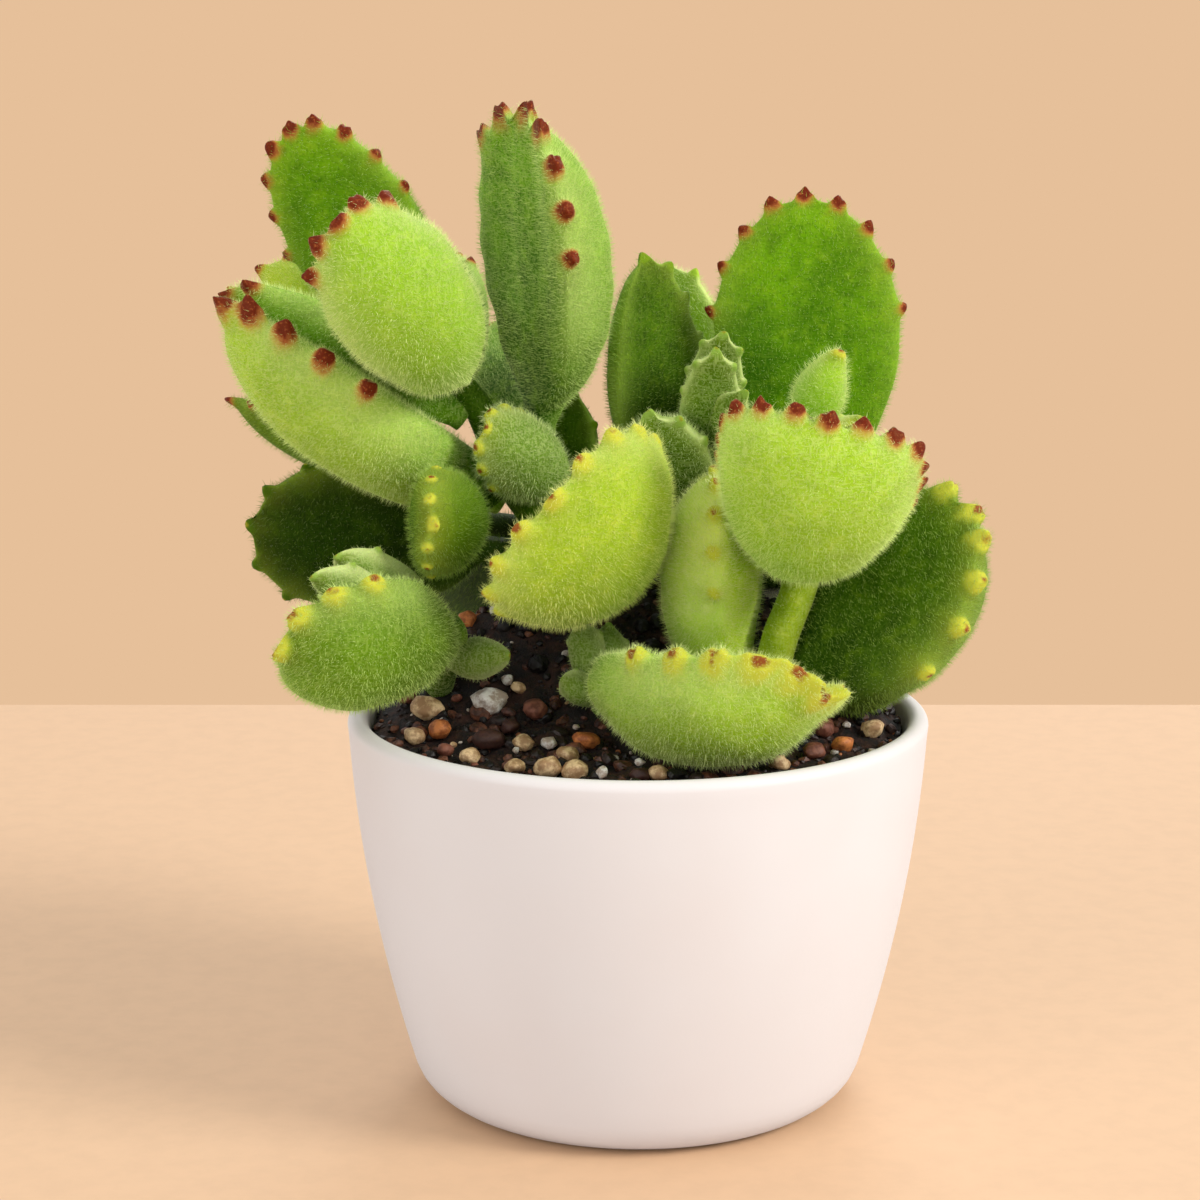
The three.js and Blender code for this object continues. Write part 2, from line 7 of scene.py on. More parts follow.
import bpy
import numpy as np
from bpy.props import FloatProperty, FloatVectorProperty, IntProperty, PointerProperty
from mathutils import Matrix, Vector


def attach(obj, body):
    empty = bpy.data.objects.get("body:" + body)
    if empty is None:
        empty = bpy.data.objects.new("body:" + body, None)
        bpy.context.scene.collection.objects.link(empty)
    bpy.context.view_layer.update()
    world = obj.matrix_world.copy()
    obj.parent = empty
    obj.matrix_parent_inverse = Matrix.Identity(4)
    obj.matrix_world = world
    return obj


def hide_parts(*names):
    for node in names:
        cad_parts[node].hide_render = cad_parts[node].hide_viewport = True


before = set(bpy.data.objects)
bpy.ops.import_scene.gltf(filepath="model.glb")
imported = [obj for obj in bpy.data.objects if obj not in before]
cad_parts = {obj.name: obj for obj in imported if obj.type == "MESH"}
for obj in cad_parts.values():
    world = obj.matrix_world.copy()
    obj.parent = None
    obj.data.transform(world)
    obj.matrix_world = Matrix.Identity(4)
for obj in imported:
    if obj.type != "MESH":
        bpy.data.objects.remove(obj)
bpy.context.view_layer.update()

bl_info = {
    "name": "Potted bears paw",
    "version": (1, 0, 0),
    "blender": (4, 5, 0),
    "location": "View3D > Sidebar > Bears paw",
    "description": "Builds a potted bears paw round its packed solids",
    "category": "Add Mesh",
}

MM = 0.001
BODY = "root"

# Pot: the same turned bowl as the solid, widest at its rounded rim.
POT_HEIGHT = 54.3
RIM_RADIUS = 40.0
MIDDLE_RADIUS = 36.75
FOOT_RADIUS = 29.75
FOOT_ROUND = 5.0
WALL = 2.75
FLOOR = 3.0

# Soil: filled to just under the rim and heaped up behind, round the stems.
SOIL_EDGE = 50.5
HEAP_RISE = 19.5
HEAP_X, HEAP_Y = 0.0, 17.0
HEAP_WIDE, HEAP_DEEP = 36.0, 12.0
HEAP_END = 38.0
WAVE_HEIGHT = 0.4
# The soil's own radius at the top, and its gap to the pot's wall below.
SOIL_RADIUS = 36.4
SOIL_GAP = 0.4
# The bed lies a little under the soil's height, which its crumbs make up.
BED_DROP = 0.45

# The height of the stems' feet, in their holes in the soil.
STEM_FOOT = 43.0

# A blade grows thicker past its heel over a stretch of its length, and thins from its middle to
# its tip. Then how far its edges rise for its half width, and how deep its grooves are.
HEEL_END, THICKENING, THIN_FROM = 0.04, 0.42, 0.5
EDGE_RISE = 0.12
GROOVE_DEPTH = 0.55
# A blade's own unevenness: the size of its swells, and their height for each millimetre of it.
SWAY_SIZE, SWAY_SHARE = 9.0, 0.035

# Claws: how far they swell past their nominal height, what the lowest one lacks of the top
# one's height, and how wide they stand for their height, with gold ones wider.
CLAW_SWELL = 1.1
CLAW_SHRINK = 0.4
CLAW_WIDTH_POWER = 0.7
GOLD_WIDER = 1.3
# How far a claw leans to the leaf's tip, how its knob widens, how uneven it is, and the share of
# its height that the skin round it gives.
CLAW_FORWARD = 0.3
CLAW_WIDEN = 0.05
CLAW_KNOBS, KNOB_SIZE = 0.4, 1.5
CLAW_FOOT, FOOT_REACH = 0.22, 1.4
# How round a claw's bell is at its top, and how steep at its foot.
BELL_TOP, BELL_FOOT = 2.6, 1.3
# How far the warm colour round a claw reaches.
GLOW_REACH = 2.4
# Hairs stop where the claw mark passes this, and grow thicker along a blade's edges.
BARE_FROM, GOLD_BARE_FROM = 0.2, 0.7
EDGE_HAIRS = 0.8

# Each leaf gives the turn of its upper face in degrees, its width and its thickness, and this is
# what it has where it says nothing else. Of its length, the share where its stalk ends and
# where it is widest; of its width and thickness, the share that the stalk has; how full its
# shoulders are, how blunt its tip, its arch, the share of its thickness above its edges, and
# whether it stands off from its stem. Then its claws: how many stand on each edge, their height,
# how far they stand up, where on the blade the lowest one is, and their colour.
PLAIN_LEAF = dict(
    stalk=0.1, widest=0.55, neck=0.2, heel=0.5, shoulder=0.62, blunt=2.15, bend=0, flat=0.3,
    stands_off=False, teeth=2, claw=1.4, raised=0, first=0.55, claws="red")


def blade(start, end, **more):
    """A leaf from where it leaves its stem to where it ends, with what it has of its own."""
    return {**PLAIN_LEAF, "start": start, "end": end, **more}


# Every large leaf, as the solids have it, with the palette that it is coloured in.
LEAVES = {
    "leaf_tall": blade(
        (-14.7, 9, 91.5), (-15.8, 1, 134), turn=62, width=25.5, thick=11.5, bend=-1.5, flat=0.15,
        blunt=3.4, heel=0.35, teeth=4, right_teeth=2, claw=3.0, palette="green", grooves=2.5),
    "leaf_left_pale": blade(
        (-25.5, -2, 102), (-37.5, -27, 122.5), turn=160, width=18.5, thick=11, bend=-3, widest=0.6,
        stalk=0.04, shoulder=0.5, stands_off=True, apart=0.22, claw=2.4, raised=0.3,
        palette="pale"),
    "leaf_left_back": blade(
        (-26.5, 6.4, 100), (-46.5, 4, 132.5), turn=12, width=18.5, thick=8, bend=-1, stalk=0.2,
        teeth=4, claw=1.8, palette="glossy"),
    "leaf_left_long": blade(
        (-18.3, 8.8, 84.3), (-53.2, -10, 109.3), turn=255, width=20.5, thick=13, bend=-2,
        stalk=0.18, teeth=4, left_teeth=0, claw=3.4, raised=0.8, palette="frosted"),
    "leaf_left_upper": blade(
        (-23.5, 6, 94.5), (-53.5, -2, 112.5), turn=250, width=16, thick=8, bend=1, stalk=0.15,
        teeth=1, apart=0.28, claw=2.4, palette="green"),
    "leaf_left_small": blade(
        (-24.5, 13, 96), (-52.5, 22, 112.5), turn=200, width=12, thick=6, bend=-2, stalk=0.25,
        stands_off=True, palette="yellow"),
    "leaf_left_thin": blade(
        (-18.5, 14, 85.5), (-56.5, 17, 95), turn=250, width=9, thick=6, bend=-3, stalk=0.2,
        stands_off=True, palette="dark"),
    "leaf_left_dark": blade(
        (-11.8, 11, 73), (-52.5, 1.5, 79.5), turn=5, width=20, thick=7.5, bend=-1, widest=0.65,
        blunt=3, stalk=0.26, teeth=3, palette="deep", claws="plain"),
    "leaf_left_low": blade(
        (-25.6, -6.3, 67.5), (-46, -24, 69), turn=218, width=22, thick=10, bend=-2, teeth=3,
        left_teeth=0, apart=0.27, claw=2.6, palette="fresh", claws="gold"),
    "leaf_egg_lower": blade(
        (-24.8, 3, 80), (-27.4, -18, 83.4), turn=130, width=14.3, thick=9.8, flat=0.42, heel=0.4,
        stalk=0.15, stands_off=True, teeth=3, claw=0.9, palette="dark", claws="gold"),
    "leaf_egg_upper": blade(
        (-12.5, 11, 83), (-21, -3, 93.5), turn=140, width=11, thick=9, bend=-1, stalk=0.2, teeth=3,
        claw=1.3, palette="felt", claws="gold"),
    "leaf_front_oval": blade(
        (-4.2, 8, 72.8), (-10.9, -25, 87.7), turn=155, width=29, thick=10.5, bend=-3, widest=0.7,
        blunt=2.7, stalk=0.15, stands_off=True, teeth=4, claw=2.0, raised=0.5, palette="yellow",
        claws="gold"),
    "leaf_centre_young": blade(
        (6.5, 13.3, 79.6), (1.5, 2, 94), turn=10, width=13, thick=6, stalk=0.2, palette="felt",
        claws="plain"),
    "leaf_centre_dark": blade(
        (5.2, 15, 81), (1.3, 12.5, 114.5), turn=330, width=15.5, thick=8, bend=-1, widest=0.44,
        blunt=1.5, shoulder=0.5, teeth=3, right_teeth=0, palette="dark", claws="plain"),
    # Its pale palette paints in light, for the leaf faces away, behind the others and in their
    # shade.
    "leaf_centre_bright": blade(
        (8.3, 16.8, 86.2), (4.6, 33, 111.5), turn=30, width=13, thick=6, bend=-3, stalk=0.3,
        palette="pale", claws="plain"),
    "leaf_right_round": blade(
        (24, 10.5, 81), (23, 12, 123), turn=5, width=25.5, thick=9, bend=-1, stalk=0.12,
        shoulder=0.5, teeth=4, claw=1.8, palette="glossy"),
    "leaf_right_pointed": blade(
        (21.5, -2.5, 92), (26.4, -8, 104.8), turn=180, width=7.2, thick=6, blunt=1.05,
        shoulder=0.5, stands_off=True, teeth=0, palette="pale", claws="gold"),
    "leaf_right_bowl": blade(
        (22.7, 3.5, 78), (23.6, -26, 97), turn=191, width=25.5, thick=12, bend=-4, widest=0.78,
        blunt=4, teeth=6, claw=2.2, raised=1.0, palette="frosted"),
    # Its bright palette paints in the light that the bowl leaf above keeps off it.
    "leaf_front_upright": blade(
        (12.5, 4, 60), (11.5, -3, 87.5), turn=288, width=20, thick=13, widest=0.5, neck=0.5,
        heel=0.85, teeth=4, claw=1.6, first=0.4, palette="bright", claws="gold"),
    "leaf_right_low": blade(
        (18.8, 2, 56), (44, -4, 82), turn=50, width=28, thick=13, bend=-2, stalk=0.1, shoulder=0.5,
        teeth=4, claw=2.2, first=0.4, palette="dark", claws="gold"),
    "leaf_front_low": blade(
        (-4.2, -4, 61), (20.5, -29, 63), turn=120, width=21.5, thick=12.5, bend=-2.5, blunt=3,
        shoulder=0.4, stalk=0.05, teeth=5, claw=3.4, first=0.3, raised=0.6, palette="frosted",
        claws="gold"),
    "leaf_rear_left_high": blade(
        (-24.5, 6.5, 99.2), (-29, 42, 110), turn=30, width=15, thick=7, stalk=0.25,
        palette="fresh"),
    "leaf_rear_middle_high": blade(
        (-14.8, 11.5, 89.8), (-16.5, 46, 104), turn=10, width=16, thick=8, palette="green"),
    "leaf_rear_centre": blade(
        (8, 17, 83), (5, 50, 93), turn=0, width=17, thick=8, stalk=0.2, palette="glossy"),
    "leaf_rear_right_high": blade(
        (24.3, 9, 85.5), (27.5, 46, 97), turn=0, width=18, thick=8, stalk=0.35, palette="green"),
    # Its deep palette paints the shade that lies on it, low behind the plant.
    "leaf_rear_right_low": blade(
        (21, 5, 73), (26, 46, 61.5), turn=340, width=17, thick=7, stalk=0.25, palette="deep"),
    "leaf_rear_centre_low": blade(
        (9, 14, 72), (9, 46, 77), turn=0, width=18, thick=8, palette="fresh"),
    # Its deep palette paints the shade that lies on it, low behind the plant.
    "leaf_rear_left_low": blade(
        (-9.5, 15, 75), (-31, 42, 61), turn=20, width=24, thick=8, palette="deep"),
}

# Stems: centre line points with the radius at each, and the small leaves grown from them.
STEMS = {
    "stem_left": dict(
        lines=(
            ((-5, 12, STEM_FOOT, 2.8), (-5, 12, 56, 2.7), (-6.5, 12, 67, 2.6),
             (-12, 10, 76.5, 2.5), (-17.5, 7, 85, 2.3), (-21.5, 6, 94.5, 2.1), (-25, 5, 100, 1.6)),
            ((-6, 12, 64, 2.2), (-9.5, 17, 75.5, 2.2), (-13, 14, 84, 2), (-14.5, 9, 92, 1.7)),
        ),
        leaves=(
            blade((-9, 16, 77), (-9, 15, 95.5), turn=30, width=8, thick=4, teeth=1, claw=1.0),
        ),
        palette="dark"),
    "stem_centre": dict(
        lines=(
            ((9, 9, STEM_FOOT, 2.8), (9, 9, 54.5, 2.7), (9, 12, 68.5, 2.6), (8, 15, 79.5, 2.3),
             (8.5, 16, 88, 1.6)),
        ),
        leaves=(
            blade((9, 14, 85), (10.5, 1, 103), turn=0, width=8, thick=5, claw=1.0),
            blade((8.5, 14, 85), (14, 1, 97.5), turn=30, width=7, thick=4, teeth=1, claw=1.0),
            blade((9, 14.5, 86), (11.5, 5, 105), turn=10, width=8, thick=4, claw=1.0),
        ),
        palette="felt"),
    "stem_right": dict(
        lines=(
            ((17.5, 0, STEM_FOOT, 2.6), (17.5, 0, 54.5, 2.5), (19.5, 0, 64, 2.5),
             (22.5, 3, 71.5, 2.5), (24, 7, 82, 2.3), (24, 8, 89, 1.8)),
        ),
        leaves=(
            blade((24, 8, 86), (30.5, 5, 94), turn=180, width=5, thick=4, teeth=1, claw=1.0),
        ),
        palette="stem"),
    "stem_left_low": dict(
        lines=(
            ((-28, 5, STEM_FOOT, 2.3), (-28, 4, 54.5, 2.2), (-27, 1, 60, 2.1), (-26, -3, 65, 2),
             (-27.5, -6, 69.5, 1.4)),
        ),
        leaves=(
            blade((-27.5, -5, 68), (-39.5, -16, 79), turn=200, width=8, thick=5, teeth=1, claw=1.0),
            blade((-27.5, -5, 68.5), (-42.5, -20, 77), turn=200, width=7, thick=5, teeth=1,
                  claw=1.0),
            blade((-27, 0, 61), (-17.5, -6, 63), turn=200, width=6, thick=3.5, blunt=1.3, teeth=0,
                  claw=0.8),
        ),
        palette="felt"),
    "stem_front": dict(
        lines=(
            ((-4.5, -2, STEM_FOOT, 2), (-4.5, -2, 52.5, 1.9), (-5, -3, 56.5, 1.7),
             (-6, -4, 59, 1.4)),
        ),
        leaves=(
            blade((-5, -2, 56), (-8, 1, 66), turn=200, width=5.5, thick=4, teeth=1, claw=0.8),
            blade((-5, -2, 56), (-4, 3, 65), turn=190, width=6, thick=4, teeth=1, claw=0.8),
            blade((-5, -2, 56), (-10.5, -4, 59.5), turn=180, width=4.5, thick=4.5, teeth=1,
                  claw=0.4),
        ),
        palette="felt"),
}

# Pebbles on the soil, from the photograph: place, radius and kind.
PEBBLES = (
    (-20.5, -2, 2.1, "white"), (-18, 1.5, 0.9, "white"), (-16.5, 0, 1, "tan"),
    (-12, -11, 1, "white"), (-29, -2.5, 2.2, "tan"), (-32, 2, 1.6, "brown"),
    (-30.5, -7.5, 1.5, "tan"), (-15.5, -11.5, 1.4, "tan"), (-9.5, -15, 1.6, "tan"),
    (-7, -11, 1.6, "rust"), (-22.5, -15, 1.5, "tan"), (-16.5, -18.5, 1.4, "tan"),
    (-12, -21, 1.8, "tan"), (-8.5, -22, 1.7, "tan"), (-5, -23.5, 0.9, "white"),
    (2.5, -22.5, 1.4, "tan"), (18.5, -17.5, 1.4, "tan"), (27.5, -11, 1.5, "rust"),
    (32, -5.5, 1.6, "tan"), (-20, -10.5, 2.0, "dark"), (-17.5, -6.5, 1.4, "dark"),
    (-14, -4, 1.7, "brown"), (25, -7, 1.9, "brown"), (0, -22.5, 1.3, "dark"),
    (-24, 12, 1.4, "rust"), (-27, -6.5, 1.7, "rust"), (-26, -13, 1.2, "brown"),
    (-25, -10.5, 0.5, "tan"), (-16.5, -13.5, 0.5, "white"), (-8.5, -7, 0.5, "white"),
    (0, -18.5, 0.6, "white"), (23.5, -12.5, 1.6, "brown"), (28.5, -5, 0.6, "white"),
    (19, -11, 0.7, "tan"), (-25, -0.5, 0.8, "brown"),
)


def srgb(red, green, blue):
    """A colour of 0 to 255 in scene values."""
    def one(c):
        c /= 255
        return c / 12.92 if c <= 0.04045 else ((c + 0.055) / 1.055) ** 2.4
    return (one(red), one(green), one(blue), 1.0)


def palette(deep, fresh, pale, hair, share, sheen, slot="leaf_green"):
    """The look of a kind of leaf; its colours are of 0 to 255."""
    return dict(deep=srgb(*deep), fresh=srgb(*fresh), pale=srgb(*pale), hair=srgb(*hair),
                share=share, sheen=sheen, slot=slot)


# Leaf palettes: the deep colour near the stem, which also paints the shade between the hairs,
# the fresh colour of the blade, the pale one of its hazy margin, which also paints bounce light
# on the underside, and that of its hairs, which take up their leaf's light. Then the share of the
# skin that painted strands cover for the finest down, the sheen, and the slot.
PALETTES = {
    "pale": palette((88, 148, 4), (138, 190, 12), (184, 218, 70), (230, 244, 158), 0.2, 0.75,
                    "leaf_pale"),
    "frosted": palette((92, 146, 2), (150, 202, 6), (200, 224, 78), (228, 244, 152), 0.3, 0.85,
                       "leaf_pale"),
    "yellow": palette((86, 144, 2), (146, 188, 6), (200, 214, 66), (236, 244, 144), 0.18, 0.5,
                      "leaf_pale"),
    # Painted light: a paler green that lifts a leaf lying in the shade of the bowl leaf above it.
    "bright": palette((164, 208, 14), (222, 244, 50), (240, 248, 166), (240, 246, 170), 0.3, 0.55),
    "green": palette((40, 86, 1), (102, 158, 3), (154, 196, 50), (216, 238, 138), 0.24, 0.55),
    "felt": palette((54, 86, 8), (96, 134, 22), (148, 178, 76), (216, 232, 154), 0.32, 0.55),
    "fresh": palette((36, 80, 1), (84, 132, 1), (130, 166, 34), (204, 230, 122), 0.2, 0.55),
    "glossy": palette((46, 98, 1), (110, 166, 1), (146, 188, 20), (172, 208, 74), 0.13, 0.55),
    "dark": palette((28, 62, 1), (68, 108, 1), (118, 150, 20), (166, 196, 78), 0.12, 0.25,
                    "leaf_dark"),
    # The darkest green, of leaf_left_dark; on the low rear leaves it is painted shade.
    "deep": palette((12, 36, 1), (34, 66, 1), (72, 102, 10), (120, 146, 46), 0.06, 0.08,
                    "leaf_dark"),
    "stem": palette((110, 140, 6), (158, 180, 20), (196, 206, 84), (224, 236, 154), 0.15, 0.55),
}
CLAW_RED = srgb(112, 32, 18)
CLAW_ORANGE = srgb(196, 112, 62)
CLAW_GOLD = srgb(204, 206, 68)


def unit(v):
    """Vectors at length 1."""
    return v / np.maximum(np.linalg.norm(v, axis=-1, keepdims=True), 1e-12)


def ease(t):
    """A smooth rise from 0 to 1."""
    t = np.clip(t, 0, 1)
    return t * t * (3 - 2 * t)


def leaf_line(leaf):
    """A leaf's two ends, the middle point of its arch, and the way its upper face looks."""
    start, end = np.array(leaf["start"], float), np.array(leaf["end"], float)
    axis = unit(end - start)
    front = np.array((0.0, -1.0, 0.0))
    face = front - front.dot(axis) * axis
    if np.linalg.norm(face) < 0.15:
        up = np.array((0.0, 0.0, 1.0))
        face = up - up.dot(axis) * axis
    face = unit(face)
    side = np.cross(face, axis)
    turn = math.radians(leaf["turn"])
    normal = math.cos(turn) * face + math.sin(turn) * side
    middle = (start + end) / 2 + normal * 2 * leaf["bend"]
    return start, middle, end, normal


def half_width(leaf, s):
    """Half of a blade's width at steps of its length."""
    stalk, neck, widest = leaf["stalk"], leaf["neck"], leaf["widest"]
    grow = np.sin(np.pi / 2 * np.clip((s - stalk) / (widest - stalk), 0, 1))
    lower = neck + (1 - neck) * grow ** leaf["shoulder"]
    x = np.clip((s - widest) / (1 - widest), 0, 1)
    upper = np.sqrt(1 - x ** leaf["blunt"])
    return leaf["width"] / 2 * np.where(s < widest, lower, upper)


def thickness(leaf, s):
    """A blade's thickness at steps of its length."""
    grow = np.sin(np.pi / 2 * np.clip((s - HEEL_END) / THICKENING, 0, 1))
    lower = leaf["heel"] + (1 - leaf["heel"]) * grow ** 0.9
    upper = (1 - np.clip((s - THIN_FROM) / (1 - THIN_FROM), 0, 1) ** 2.3) ** 0.62
    return leaf["thick"] * np.where(s < THIN_FROM, lower, upper)


def surface(leaf, s, angle):
    """Points on a leaf, for s from the stem to the tip and the angle round the blade."""
    s, angle = np.broadcast_arrays(np.asarray(s, float), np.asarray(angle, float))
    start, middle, end, normal = leaf_line(leaf)
    a, b, c = (1 - s) ** 2, 2 * s * (1 - s), s ** 2
    line = a[..., None] * start + b[..., None] * middle + c[..., None] * end
    along = unit((1 - s)[..., None] * (middle - start) + s[..., None] * (end - middle))
    above = unit(normal - (along @ normal)[..., None] * along)
    across = np.cross(above, along)
    w, cos, sin = half_width(leaf, s), np.cos(angle), np.sin(angle)
    height = thickness(leaf, s) * np.abs(sin) ** 0.8
    lift = np.where(sin > 0, leaf["flat"] * height, -(1 - leaf["flat"]) * height)
    lift = lift + EDGE_RISE * w * cos ** 2 * ease(s / 0.5)
    if "grooves" in leaf:
        furrow = np.cos(np.pi * leaf["grooves"] * cos) * np.clip(sin, 0, 1) ** 0.5
        lift = lift + GROOVE_DEPTH * furrow * ease((s - 0.15) / 0.6) * ease((1 - s) / 0.1)
    return line + across * (w * cos)[..., None] + above * lift[..., None]


def edge_step(leaf, f):
    """Steps down a blade's edge: 0 is the tip and 1 the lowest claw's end of the edge."""
    first, widest = leaf["first"], leaf["widest"]
    return widest - (widest - first) * f ** 3 + (1 - widest) * np.sin((1 - f) * np.pi / 2)


def claws_of(leaf):
    """The foot, direction, height and foot radius of every claw on a leaf."""
    def raised(way, s):
        """A claw's direction, stood up towards the upper face as far as the leaf says."""
        above = unit(surface(leaf, s, np.pi / 2) - surface(leaf, s, -np.pi / 2))
        return unit(way + leaf["raised"] * above)

    feet, ways, heights = [], [], []
    teeth = leaf["teeth"]
    edges = ((0.0, leaf.get("right_teeth", teeth)), (np.pi, leaf.get("left_teeth", teeth)))
    for k in range(1, teeth + 1):
        f = k * leaf.get("apart", 1 / (teeth + 0.6))
        s = edge_step(leaf, f)
        for angle in [angle for angle, count in edges if k <= count]:
            p, back = surface(leaf, s, angle), surface(leaf, s - 0.02, angle)
            centre = (surface(leaf, s, 0.0) + surface(leaf, s, np.pi)) / 2
            forward = unit(p - back)
            out = p - centre
            out = unit(out - out.dot(forward) * forward)
            feet.append(p)
            ways.append(raised(out + CLAW_FORWARD * forward, s))
            heights.append(CLAW_SWELL * leaf["claw"] * (1 - CLAW_SHRINK * f))
    tip = surface(leaf, 1.0, 0.0)
    feet.append(tip)
    ways.append(raised(unit(tip - surface(leaf, 0.98, np.pi / 2)), 0.95))
    heights.append(CLAW_SWELL * leaf["claw"])
    heights = np.array(heights)
    wider = GOLD_WIDER if leaf["claws"] == "gold" else 1.0
    return np.array(feet), np.array(ways), heights, wider * heights ** CLAW_WIDTH_POWER


# The length of faces at the claws and elsewhere, on large leaves and on young ones, how far the
# short ones reach round a claw, and the shares of a quarter turn where points stand on a blade's
# underside and on its upper face.
FINE_STEP, COARSE_STEP = 0.36, 1.15
YOUNG_FINE_STEP, YOUNG_COARSE_STEP = 0.4, 0.9
FINE_REACH = 1.2
LOWER_ROUND = (0, 0.035, 0.075, 0.12, 0.17, 0.23, 0.31, 0.41, 0.54, 0.7, 0.86)
UPPER_ROUND = (1, 0.82, 0.65, 0.5, 0.36, 0.25, 0.16, 0.08)


def round_angles():
    """Angles round a blade, close together at its two edges."""
    upper = [np.pi / 2 * u ** 1.25 for u in UPPER_ROUND]
    lower = [np.pi / 2 * u ** 1.25 for u in LOWER_ROUND]
    right_to_top = sorted(upper)
    top_to_left = [np.pi - a for a in sorted(upper, reverse=True)[1:]]
    left_to_bottom = [np.pi + a for a in lower] + [np.pi * 1.5]
    bottom_to_right = [2 * np.pi - a for a in sorted(lower[1:], reverse=True)]
    return np.array([0.0] + right_to_top + top_to_left + left_to_bottom + bottom_to_right)


def rows_of(leaf, feet, fine, coarse):
    """Steps along a blade, closer together where a claw stands."""
    low = np.linspace(0, leaf["first"], 60, endpoint=False)
    high = edge_step(leaf, np.linspace(1, 0.006, 900))
    s = np.concatenate([low, high])
    edges = np.stack([surface(leaf, s, 0.0), surface(leaf, s, np.pi)])
    gaps = np.linalg.norm(edges[:, :, None] - feet[None, None], axis=-1).min(axis=(0, 2))
    reach = (CLAW_SWELL * leaf["claw"]) ** CLAW_WIDTH_POWER
    step = np.where(gaps < FINE_REACH * reach, fine, coarse)
    length = np.linalg.norm(np.diff(edges, axis=1), axis=-1).max(axis=0)
    count = np.concatenate([[0], np.cumsum(length / ((step[1:] + step[:-1]) / 2))])
    total = int(math.ceil(count[-1]))
    return np.interp(np.linspace(0, count[-1], total + 1), count, s)


def skin(rings, start, end):
    """Faces of a row of closed rings, with a fan to a point at both ends."""
    rows, count = rings.shape[:2]
    points = np.concatenate([rings.reshape(-1, 3), [start], [end]])
    i, j = np.meshgrid(np.arange(rows - 1), np.arange(count), indexing="ij")
    k = (j + 1) % count
    faces = np.stack([i * count + j, i * count + k, (i + 1) * count + k, (i + 1) * count + j], -1)
    faces = faces.reshape(-1, 4).tolist()
    first, last = rows * count, (rows - 1) * count
    for a in range(count):
        b = (a + 1) % count
        faces.append((first, b, a))
        faces.append((first + 1, last + a, last + b))
    return points, faces


def outward(points, faces):
    """The same faces, turned if the shell that they make is inside out."""
    volume = 0.0
    for face in faces:
        a = points[face[0]]
        for n in range(1, len(face) - 1):
            volume += np.dot(a, np.cross(points[face[n]], points[face[n + 1]]))
    return faces if volume > 0 else [tuple(reversed(f)) for f in faces]


def wobble(points, seed, size, amount):
    """A smooth uneven value at each point, from a few crossing waves."""
    draw = np.random.default_rng(seed)
    value = np.zeros(points.shape[:-1])
    for _ in range(5):
        way = unit(draw.normal(size=3)) * 2 * np.pi / (size * draw.uniform(0.7, 1.5))
        value += np.sin(points @ way + draw.uniform(0, 2 * np.pi))
    return amount * value / 5


def grid_normals(rings):
    """The way out of each point of a row of closed rings."""
    around = np.roll(rings, -1, axis=1) - np.roll(rings, 1, axis=1)
    along = np.gradient(rings, axis=0)
    normal = unit(np.cross(around, along))
    centre = rings.mean(axis=1, keepdims=True)
    if ((rings - centre) * normal).sum() < 0:
        normal = -normal
    return normal


def leaf_shape(leaf, seed, fine=FINE_STEP, coarse=COARSE_STEP):
    """A leaf as one closed skin with its claws drawn out of it, and the marks that colour it."""
    feet, ways, heights, spread = claws_of(leaf)
    s = rows_of(leaf, feet, fine, coarse)
    angle = round_angles()
    rings = surface(leaf, s[:, None], angle[None, :])
    fade = (ease(s / 0.15) * ease((1 - s) / 0.08))[:, None]
    sway = wobble(rings, seed, SWAY_SIZE, leaf["thick"] * SWAY_SHARE) * fade
    rings = rings + grid_normals(rings) * sway[..., None]
    grow = unit(np.gradient(rings, axis=0))
    claw = np.zeros(rings.shape[:2])
    glow = np.zeros(rings.shape[:2])
    moved = rings.copy()
    knobs = 1 + wobble(rings, seed + 50, KNOB_SIZE, CLAW_KNOBS)
    for foot, way, height, radius in zip(feet, ways, heights, spread):
        off = rings - foot
        near = np.linalg.norm(off, axis=-1)
        bell = (1 - np.clip(near / radius, 0, 1) ** BELL_TOP) ** BELL_FOOT
        swell = np.exp(-(near / (FOOT_REACH * radius)) ** 2)
        rise = height * ((1 - CLAW_FOOT) * bell * knobs + CLAW_FOOT * swell)
        lateral = off - (off @ way)[..., None] * way
        moved += way * rise[..., None] + lateral * (CLAW_WIDEN * bell)[..., None]
        claw = np.maximum(claw, 1 - np.clip(near / radius, 0, 1))
        glow = np.maximum(glow, np.exp(-(near / GLOW_REACH) ** 2))
    tip = feet[-1] + ways[-1] * heights[-1]
    points, faces = skin(moved, np.array(leaf["start"], float), tip)
    upper = np.broadcast_to(np.sin(angle)[None, :], claw.shape)
    along = np.broadcast_to(s[:, None], claw.shape)
    rim = np.abs(np.cos(angle))[None, :] ** 6 * ease((s - 0.1) / 0.4)[:, None]
    bare = GOLD_BARE_FROM if leaf["claws"] == "gold" else BARE_FROM
    down = (1 - ease((claw - bare) / 0.35)) * (0.35 + 0.65 * ease(s / 0.12))[:, None]
    down = down * (0.85 + EDGE_HAIRS * rim)
    marks = {}
    for name, value, foot_value, tip_value in (
        ("claw", claw, 0, 1), ("glow", glow, 0, 1), ("upper", upper, 0, 0),
        ("along", along, 0, 1), ("rim", rim, 0, 1), ("down", down, 0, 0),
    ):
        marks[name] = np.concatenate([value.ravel(), [foot_value, tip_value]])
    marks["grow"] = np.concatenate([grow.reshape(-1, 3), [grow[0, 0], ways[-1]]])
    return points, outward(points, faces), marks


